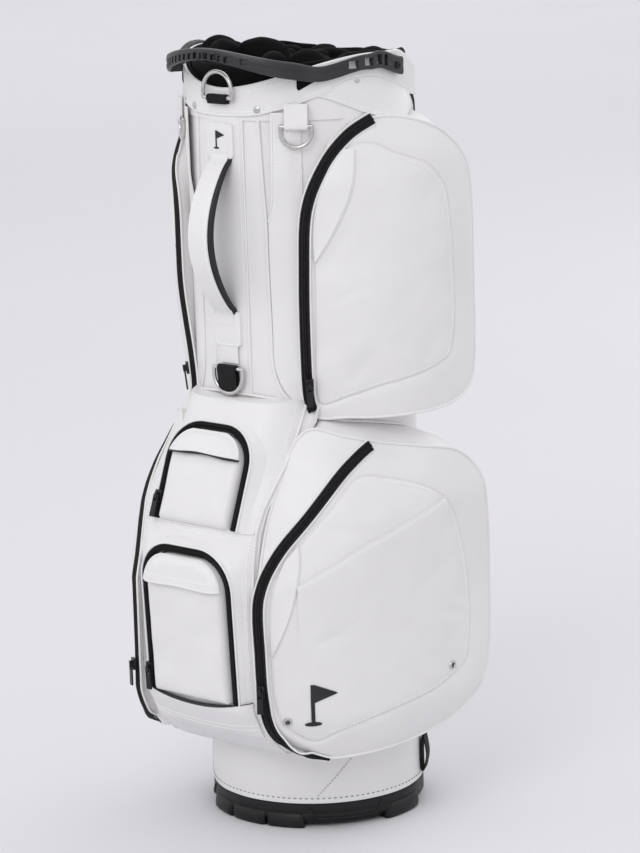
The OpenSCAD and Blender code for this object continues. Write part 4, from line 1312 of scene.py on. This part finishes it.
def upper_pocket(side):
    pocket_shell(UPPER, "upper_pocket", side, UPPER_STITCHES)
    side_zip("upper", UPPER, UPPER_ZIP, side, 12.5, 22, 1.8)
    overlay(UPPER, "upper_pocket_leaf", side,
            [[66, 817], [64, 789], [60.5, 756], [53.5, 717], [47, 690]],
            [[61, 818], [54, 797], [49, 768], [46.6, 735], [46.2, 700]], 3.2)


def lower_pocket(side):
    pocket_shell(LOWER, "lower_pocket", side, LOWER_STITCHES)
    seat = [[43.6, 504], [47, 501.5], [62, 497.5], [80, 490.5], [98, 480.5], [116, 466]]
    cord_on(on_skin, seat, 1.8, 1.7).sided("lower_pocket_seat_piping", side, EDGE_WHITE)
    side_zip("lower", LOWER, LOWER_ZIP, side, 12.0, 14, 1.9, taper=45)
    overlay(LOWER, "lower_pocket_slip", side,
            [[37, 323], [48.5, 344], [60.5, 364], [76, 381], [87.5, 392], [95.5, 401]],
            [[37, 240], [48.5, 262], [60.5, 284], [76, 303], [88, 316], [99, 330]], 2.8)
    overlay(LOWER, "lower_pocket_leaf", side,
            [[37.4, 368], [38, 352], [37, 323], [34.8, 290], [31.8, 262], [29, 240]],
            [[33.5, 352], [31.5, 335], [29.8, 310], [29.3, 285], [29, 262], [28.9, 240]], 3.2)
    mark = flag(LOWER.surface, 44, 178, 50, 0.9, 3.7)
    mark.sided("lower_pocket_mark", side, PRINT_BLACK)


def eyelets():
    """Ringed drain eyelets low on the side pockets."""
    rings, holes = Shape(), Shape()
    profile = [[1.0, -0.5], [1.0, 0.3], [0.92, 0.75], [0.76, 0.95], [0.58, 0.8], [0.5, 0.3], [0.48, -0.4],
               [1.0, -0.5]]
    turn = np.linspace(0, 2 * np.pi, 28, endpoint=False)
    for a, z in ((33, 160), (98, 193)):
        middle, normal = LOWER.surface(a, z, 0.2)
        right = unit(np.cross(UP, normal))
        up = np.cross(normal, right)
        around = right * np.cos(turn)[:, None] + up * np.sin(turn)[:, None]
        ring, hole = Shape(), Shape()
        ring.grid([middle + normal * h * 1.6 + around * 5.4 * s for s, h in profile], wrap_v=True)
        disc = ((1.0, 0.25), (0.6, 0.25), (0.05, 0.25), (0.05, -0.4), (1.0, -0.4))
        hole.grid([middle + around * 2.8 * s + normal * h for s, h in disc], wrap_v=True)
        rings.join(ring.both_sides())
        holes.join(hole.both_sides())
    rings.piece("pocket_eyelet_rings", NICKEL, replaces=["pocket_eyelets"])
    holes.piece("pocket_eyelet_holes", LINING)


# ---- front block ----------------------------------------------------------------------
HALF_W = 88
BACK_Y = -80
LEVELS = np.array([[99, 100, 98], [104, 160, 152], [136, 192, 184], [172, 213, 200], [250, 217.5, 204],
                   [345, 222.5, 201], [384, 203.5, 194], [410, 193.5, 180], [457, 177, 138],
                   [490, 163.5, 116], [524, 147, 99]], float)
SCALE_Z = np.arange(99, 525.0)
DOOR_CORNER = 38.0
GUSSET_REACH = [[31, 112], [31, 130], [26.8, 168], [25.2, 235], [25.4, 325], [27.5, 400], [33, 466],
                [42.5, 494], [45, 508], [46, 524]]


def smoothed(column):
    """A level column over every millimetre of height, eased over a few of them."""
    raw = np.interp(SCALE_Z, LEVELS[:, 0], LEVELS[:, column])
    kernel = np.exp(-(np.arange(-12, 13) / 5.0) ** 2)
    padded = np.pad(raw, 12, mode="reflect", reflect_type="odd")
    return np.convolve(padded, kernel / kernel.sum(), mode="valid")


FRONT_MIDDLE, FRONT_EDGE = smoothed(1), smoothed(2)


def front_y(x, z):
    middle, edge = np.interp(z, SCALE_Z, FRONT_MIDDLE), np.interp(z, SCALE_Z, FRONT_EDGE)
    power = between((400 - z) / 60, 4.3, 7)
    return -(edge + (middle - edge) * (1 - np.abs(np.asarray(x) / HALF_W) ** power))


def on_front(x, z, gap=0.0):
    """Points on the front block at x and z, and their outward directions."""
    x, z = np.broadcast_arrays(np.asarray(x, float), np.asarray(z, float))
    slope_x = (front_y(np.minimum(x + 1, HALF_W), z) - front_y(np.maximum(x - 1, -HALF_W), z)) / 2
    slope_z = (front_y(x, z + 1) - front_y(x, z - 1)) / 2
    outs = unit(np.stack([slope_x, -np.ones_like(x), slope_z], axis=-1))
    points = np.stack([x, front_y(x, z), z], axis=-1)
    return points + outs * np.asarray(gap)[..., None], outs


class Face:
    """The plane of a front pocket: x across, h up it from its fold, out of it +."""

    def __init__(self, bottom, top, half):
        self.bottom = np.array([0, -bottom[0], bottom[1]], float)
        self.high = math.hypot(top[0] - bottom[0], top[1] - bottom[1])
        self.up = np.array([0, -(top[0] - bottom[0]), top[1] - bottom[1]]) / self.high
        self.out = np.array([0, -self.up[2], self.up[1]])
        self.half = half

    def at(self, x, h, out):
        x, h, out = np.broadcast_arrays(np.asarray(x, float), np.asarray(h, float), np.asarray(out, float))
        right = np.array([1.0, 0, 0])
        return self.bottom + x[..., None] * right + h[..., None] * self.up + out[..., None] * self.out

    def arch(self, grow, step=4.0, foot=0.0):
        """The line [x, h] up one side, over the top and down the other."""
        half, high, r = self.half + grow, self.high + grow, DOOR_CORNER + grow
        turn = np.radians(np.linspace(0, 90, 10))
        left = [[-half, foot], [-half, high - r]]
        over = [[-half + r - r * math.cos(t), high - r + r * math.sin(t)] for t in turn]
        right = [[half - r + r * math.sin(t), high - r + r * math.cos(t)] for t in turn]
        return evenly(np.array(left + over + right + [[half, high - r], [half, foot]]), step)


COOLER = Face([205, 384], [165.5, 489], 57)
VALUABLES = Face([214.3, 178], [223.2, 352], 62)


def arch_cutter(face, depth):
    """What is cut from the block behind a front pocket; the second material lines the hollow."""
    line = face.arch(-0.2, foot=-0.2)
    rows = [face.at(line[:, 0], line[:, 1], out) for out in (22.0, -depth)]
    return Shape().tube(rows, slot=1)


def front_block():
    """The front body: a rounded block with a recess behind each front pocket."""
    z = np.concatenate([[99, 100, 101.5, 103, 105], np.arange(109, 521, 5.0), [524]])
    x = HALF_W * np.sin(np.radians(np.linspace(-90, 90, 61)))
    points, outs = on_front(x[None], z[:, None])
    calm = (1 - np.abs(x / HALF_W) ** 8)[None] * ease((z - 110) / 30)[:, None]
    points = points + outs * (ripple(points, 48, 1.3, 14.0) * calm)[..., None]
    tube = -np.sqrt((skin_r(530) + 0.8) ** 2 - x ** 2)
    top = points[-1]
    rows = list(points)
    for share, height in ((0.3, 525.2), (0.65, 526.0), (0.97, 526.6)):
        row = top.copy()
        row[:, 1] = top[:, 1] + (np.maximum(tube, top[:, 1]) - top[:, 1]) * share
        row[:, 2] = height
        rows.append(row)
    rows = np.array(rows)
    left = np.stack([np.full(len(rows), -HALF_W), np.full(len(rows), BACK_Y), rows[:, 0, 2]], axis=1)
    rows = np.concatenate([left[:, None], rows, (left * [-1, 1, 1])[:, None]], axis=1)
    block = Shape().tube(rows).piece("front_block_shell", WHITE, LINING, replaces=["front_block"], sharp=50)
    cut(block, arch_cutter(COOLER, 26), "cooler_recess")
    cut(block, arch_cutter(VALUABLES, 70), "valuables_recess")


def block_seams():
    """Double piping down the block's side edges, and the waist and cross seams."""
    cords, thread = Shape(), Shape()
    z = np.arange(106, 523, 5.0)
    for side in (-1, 1):
        edge = np.stack([np.full(len(z), side * (HALF_W - 0.2)), front_y(HALF_W, z) - 0.2, z], axis=1)
        cords.join(sweep(edge, unit(np.array([side * 0.75, -1.0, 0])), round_bar(1.9)))
        second = edge + np.array([side * 0.9, 7.0, 0])
        cords.join(sweep(second, np.array([side * 1.0, 0, 0]), round_bar(1.4)))
        thread.join(stitches(*on_front(side * (HALF_W - 5), z, 0.3)))
    waist = [[-40, 506], [-31, 523], [-12, 529.5], [0, 530], [12, 529.5], [31, 523], [40, 506]]
    a, z = smooth_line(waist).T
    grow = np.interp(np.abs(a), [0, 31, 40], [2.0, 4.0, 6.5])
    cords.join(sweep(cyl(a, skin_r(z) + grow, z), cyl(a, 1, 0), round_bar(1.7)))
    x = np.linspace(-86, 86, 60)
    cords.join(sweep(*on_front(x, 383, 0.1), round_bar(1.9)))
    thread.join(stitches(*on_front(x, 376, 0.1)))
    cords.piece("front_block_piping", EDGE_WHITE)
    thread.piece("front_block_stitches", SHADED_THREAD)


def side_gusset(side):
    """The soft panel between the front block's side seam and the lower pocket's front edge."""
    z = np.linspace(112, 521, 83)
    edge = np.stack([np.full(len(z), HALF_W - 0.5), front_y(HALF_W, z) + 1.0, z], axis=1)
    reach = spline(GUSSET_REACH, 10)
    a = np.interp(z, reach[:, 1], reach[:, 0])
    far = cyl(a + 0.6, LOWER.full(a + 0.6, z) - 2.5, z)
    back_y = np.maximum(edge[:, 1], far[:, 1]) + 22
    back = np.stack([np.full(len(z), HALF_W + 4.0), back_y, z], axis=1)
    rows = []
    for t in np.linspace(0, 1, 12):
        flat = edge + (far - edge) * t
        rows.append(flat + (back - flat) * math.sin(math.pi * t) * 0.22)
    outer = np.array(rows)
    Shape().slab(outer, outer + np.array([0, 3.0, 0])).sided("side_gusset", side, WHITE)


def pad_rise(face, crown, x, h):
    """How far a front pocket's panel stands out: steep at its edge, crowned in the middle."""
    side = np.minimum(face.half - 1.7 - np.abs(x), face.high - 1.0 - h)
    cx, cy = np.abs(x) - (face.half - DOOR_CORNER), h - (face.high - DOOR_CORNER)
    corner = np.where((cx > 0) & (cy > 0), DOOR_CORNER - 1.5 - np.hypot(cx, cy), side)
    near = np.maximum(np.minimum(np.minimum(side, corner), h * 0.8 + 1.5), 0)
    return -4.5 + 14.0 * (1 - np.exp(-near / 2.2)) + crown * (1 - np.exp(-near / 22.0))


def door(name, face, crown):
    """A padded front pocket panel, which folds down on its lower seam."""
    line = face.arch(-1.7, step=3.2, foot=0.4)
    foot = np.stack([np.linspace(line[-1, 0], line[0, 0], 36)[1:-1], np.full(34, 0.4)], axis=1)
    ring = np.vstack([line, foot])
    middle = np.array([0, face.high * 0.48])
    rows = [face.at(ring[:, 0], ring[:, 1], -7.0)]
    for share in (1.0, 0.99, 0.975, 0.955, 0.93, 0.9, 0.85, 0.78, 0.68, 0.56, 0.42, 0.28, 0.14, 0.03):
        x, h = (middle + (ring - middle) * share).T
        points = face.at(x, h, 0)
        waves = ripple(points, 30, 2.0, 17.0 + face.half) * np.clip((1 - share) * 5, 0, 1)
        rows.append(points + (pad_rise(face, crown, x, h) + waves)[:, None] * face.out)
    body = name + "_door"
    panel = Shape().tube(rows).piece(name + "_door_pad", WHITE, body=body, replaces=[body])


def cap_flap(name, face, flap_h, crown, binding_and_shade):
    """The flap sewn over the top of a front pocket's panel, from the height flap_h up; a black strip of
    varying width along its lower edge is partly a bound edge and partly painted shade under it.
    """
    body = name + "_door"
    share = np.linspace(-1, 1, 49)
    heights = flap_h + (face.high - 0.8 - flap_h) * np.sin(np.radians(np.linspace(0, 90, 20)))
    outer, inner = [], []
    for i, h in enumerate(heights):
        over = np.clip(h - (face.high - DOOR_CORNER), 0, DOOR_CORNER - 0.2)
        half = face.half - 0.6 - DOOR_CORNER + np.sqrt(np.maximum(DOOR_CORNER ** 2 - over ** 2, 0))
        droop = (0.9 * np.cos(np.pi * share * 1.3) - 0.4) * math.exp(-i / 1.5)
        x = share * half
        lift = 1.6 + 3.4 * math.exp(-(h - flap_h) / 14.0)
        out = np.maximum(pad_rise(face, crown, x * 0.985, h + droop), 6.0) + lift
        outer.append(face.at(x, h + droop, out))
        inner.append(face.at(x, h + droop, out - 1.9))
    Shape().slab(outer, inner).piece(name + "_cap_flap", WHITE, body=body)
    edge = (outer[0] + inner[0]) / 2
    # The black strip is a bound edge and painted shade under the flap's edge; the plain white edge carries
    # no painted shade.
    if binding_and_shade:
        thick = 0.75 + 0.45 * np.cos(np.pi * (share + 0.25)) ** 2
        rim = sweep(edge, face.out, flat_bar(2.6, 2.8, -1.4, 14, 3), scale=[thick, np.ones(49)])
        rim.piece(name + "_flap_binding", BLACK_EDGE_AND_SHADE, body=body)
    else:
        sweep(edge, face.out, round_bar(1.2)).piece(name + "_flap_edge", EDGE_WHITE, body=body)
    stitches(outer[3] + face.out * 0.1, face.out).piece(name + "_flap_stitches", SHADED_THREAD, body=body)


def arch_zip(name, face):
    """The zipper round a front pocket, a raised white welt outside it, and the piping between."""
    def arch(grow, out, foot=0.5):
        line = face.arch(grow, step=3.0, foot=foot)
        return face.at(line[:, 0], line[:, 1], out)
    tape = sweep(arch(5.0, 0.2), face.out, zip_bar(8.6, 1.15))
    tape.piece(name + "_zipper_tape", ZIPPER, replaces=[name + "_zipper"])
    rows = [evenly(arch(grow, out), 3.0) for grow, out in ((8.6, -2.0), (8.9, 1.0), (10.2, 1.2))]
    for grow, gap in ((16.0, 0.5), (20.0, -0.8)):
        line = arch(grow, 0)
        x = np.clip(line[:, 0], -HALF_W + 2, HALF_W - 2)
        rows.append(on_front(x, line[:, 2], gap)[0])
    rows = np.array([line[np.linspace(0, len(line) - 1, 140).round().astype(int)] for line in rows])
    Shape().slab(rows, rows - face.out * 2.5).piece(name + "_arch_welt", WHITE, sharp=60)
    sweep(arch(10.6, 1.0, 0.0), face.out, round_bar(1.3)).piece(name + "_zipper_piping", EDGE_WHITE)


def kangaroo():
    """The band across the foot of the block, whose top edge is open; the black strip along it, widest in the
    middle where the band gapes, is partly a bound edge and partly painted shade of the opening.
    """
    x = np.linspace(-84, 84, 57)
    top = 172 + 11 * (x / HALF_W) ** 2
    low = 132 + 5 * (x / HALF_W) ** 2
    share = np.linspace(0, 1, 14)[:, None]
    z = low[None] + (top - low)[None] * share
    ends = 1 - np.abs(x / 86) ** 10
    gap = (0.6 + 3.6 * share ** 2 * ends[None]) + 1.4 * np.sin(np.pi * share) * ends[None]
    outer, inner = [on_front(x, z, gap + rise)[0] for rise in (1.2, -0.4)]
    Shape().slab(outer, inner).piece("kangaroo_panel", WHITE, replaces=["kangaroo_band"])
    # Painted shade: the black strip is widest where the band gapes most, standing in for the shade in the
    # open mouth as well as the bound edge.
    size = 0.1 + 1.1 * np.maximum(1 - np.abs(x / 74) ** 2.5, 0)
    outs = on_front(x, top)[1]
    edge = (outer[-1] + inner[-1]) / 2
    rim = sweep(edge, outs, flat_bar(3.8, 3.0, -1.5, 14, 3), scale=[size, np.ones(57)])
    rim.piece("kangaroo_binding", BLACK_EDGE_AND_SHADE)
    rows = stitches(outer[3] + outs * 0.1, outs)
    rows.join(stitches(outer[5] + outs * 0.1, outs))
    rows.piece("kangaroo_stitches", SHADED_THREAD)


def marks():
    flag(on_skin, -0.2, 829, 21, 7.5, 2.3).piece("handle_patch_mark", PRINT_BLACK)


# ---- studio --------------------------------------------------------------------------
def area_light(name, place, aim, size, power, colour=(1, 1, 1)):
    data = bpy.data.lights.new(name, "AREA")
    data.shape = "RECTANGLE"
    data.size, data.size_y = size
    data.energy = power
    data.color = colour
    lamp = bpy.data.objects.new(name, data)
    lamp.location = place
    lamp.rotation_euler = (Vector(aim) - Vector(place)).to_track_quat("-Z", "Y").to_euler()
    bpy.context.scene.collection.objects.link(lamp)


def studio():
    """The paper floor, the four lamps and the sky."""
    half = 40
    corners = [(-half, -half, 0), (half, -half, 0), (half, half, 0), (-half, half, 0)]
    mesh = bpy.data.meshes.new("floor")
    mesh.from_pydata(corners, [], [(0, 1, 2, 3)])
    mesh.materials.append(floor_material())
    floor = bpy.data.objects.new("floor", mesh)
    bpy.context.scene.collection.objects.link(floor)
    area_light("key", (1.2, -3.3, 3.2), (0, 0, 0.5), (2.4, 2.4), 44, (1, 0.992, 0.985))
    area_light("fill", (-3.4, -2.6, 2.0), (0, 0, 0.4), (3, 3), 12, (0.98, 0.98, 1))
    area_light("back", (0.2, 4.4, 3.4), (0, 1.2, 0.2), (4, 3), 42)
    area_light("far_floor", (-7.5, 8.5, 5.0), (-7.8, 9.5, 0), (8, 8), 72)
    world = bpy.data.worlds.new("studio_world")
    world.use_nodes = True
    sky = world.node_tree.nodes["Background"]
    sky.inputs["Color"].default_value = (0.86, 0.862, 0.89, 1)
    sky.inputs["Strength"].default_value = 0.97
    bpy.context.scene.world = world
    bpy.context.scene.view_settings.view_transform = "Standard"


def camera():
    """The photograph's viewing angle: 42 degrees round to the right, from a little above."""
    round_to, distance, height = math.radians(42), 4.0, 1.30
    roll = math.radians(-1.65)
    place = Vector((distance * math.sin(round_to), -distance * math.cos(round_to), height))
    aim = Vector((0, 0, 0.46))
    data = bpy.data.cameras.new("camera")
    data.sensor_fit = "VERTICAL"
    data.sensor_width = 36
    data.sensor_height = 36
    data.lens = 142.65
    data.shift_x = 0.0129
    data.shift_y = 0.0053
    view = bpy.data.objects.new("camera", data)
    view.location = place
    turn = (aim - place).to_track_quat("-Z", "Y").to_matrix().to_4x4()
    view.rotation_euler = (turn @ Matrix.Rotation(roll, 4, "Z")).to_euler()
    bpy.context.scene.collection.objects.link(view)
    bpy.context.scene.camera = view


camera()
studio()
dress_nodes()
base_skirt()
foot_blocks()
skin()
hem()
spine()
rear()
rear_zippers()
collar()
lining()
divider_roll()
divider()
rivets()
hoop()
grab_handle()
straps()
foot_loops()
eyelets()
front_block()
block_seams()
for name, face, flap_h, crown, binding_and_shade in (("cooler", COOLER, 82, 4.5, True),
                                           ("valuables", VALUABLES, 140, 5.0, False)):
    door(name, face, crown)
    cap_flap(name, face, flap_h, crown, binding_and_shade)
    arch_zip(name, face)
kangaroo()
marks()
for side in ("right", "left"):
    slip_panel(side)
    shoulder(side)
    collar_notch(side)
    upper_pocket(side)
    lower_pocket(side)
    side_gusset(side)
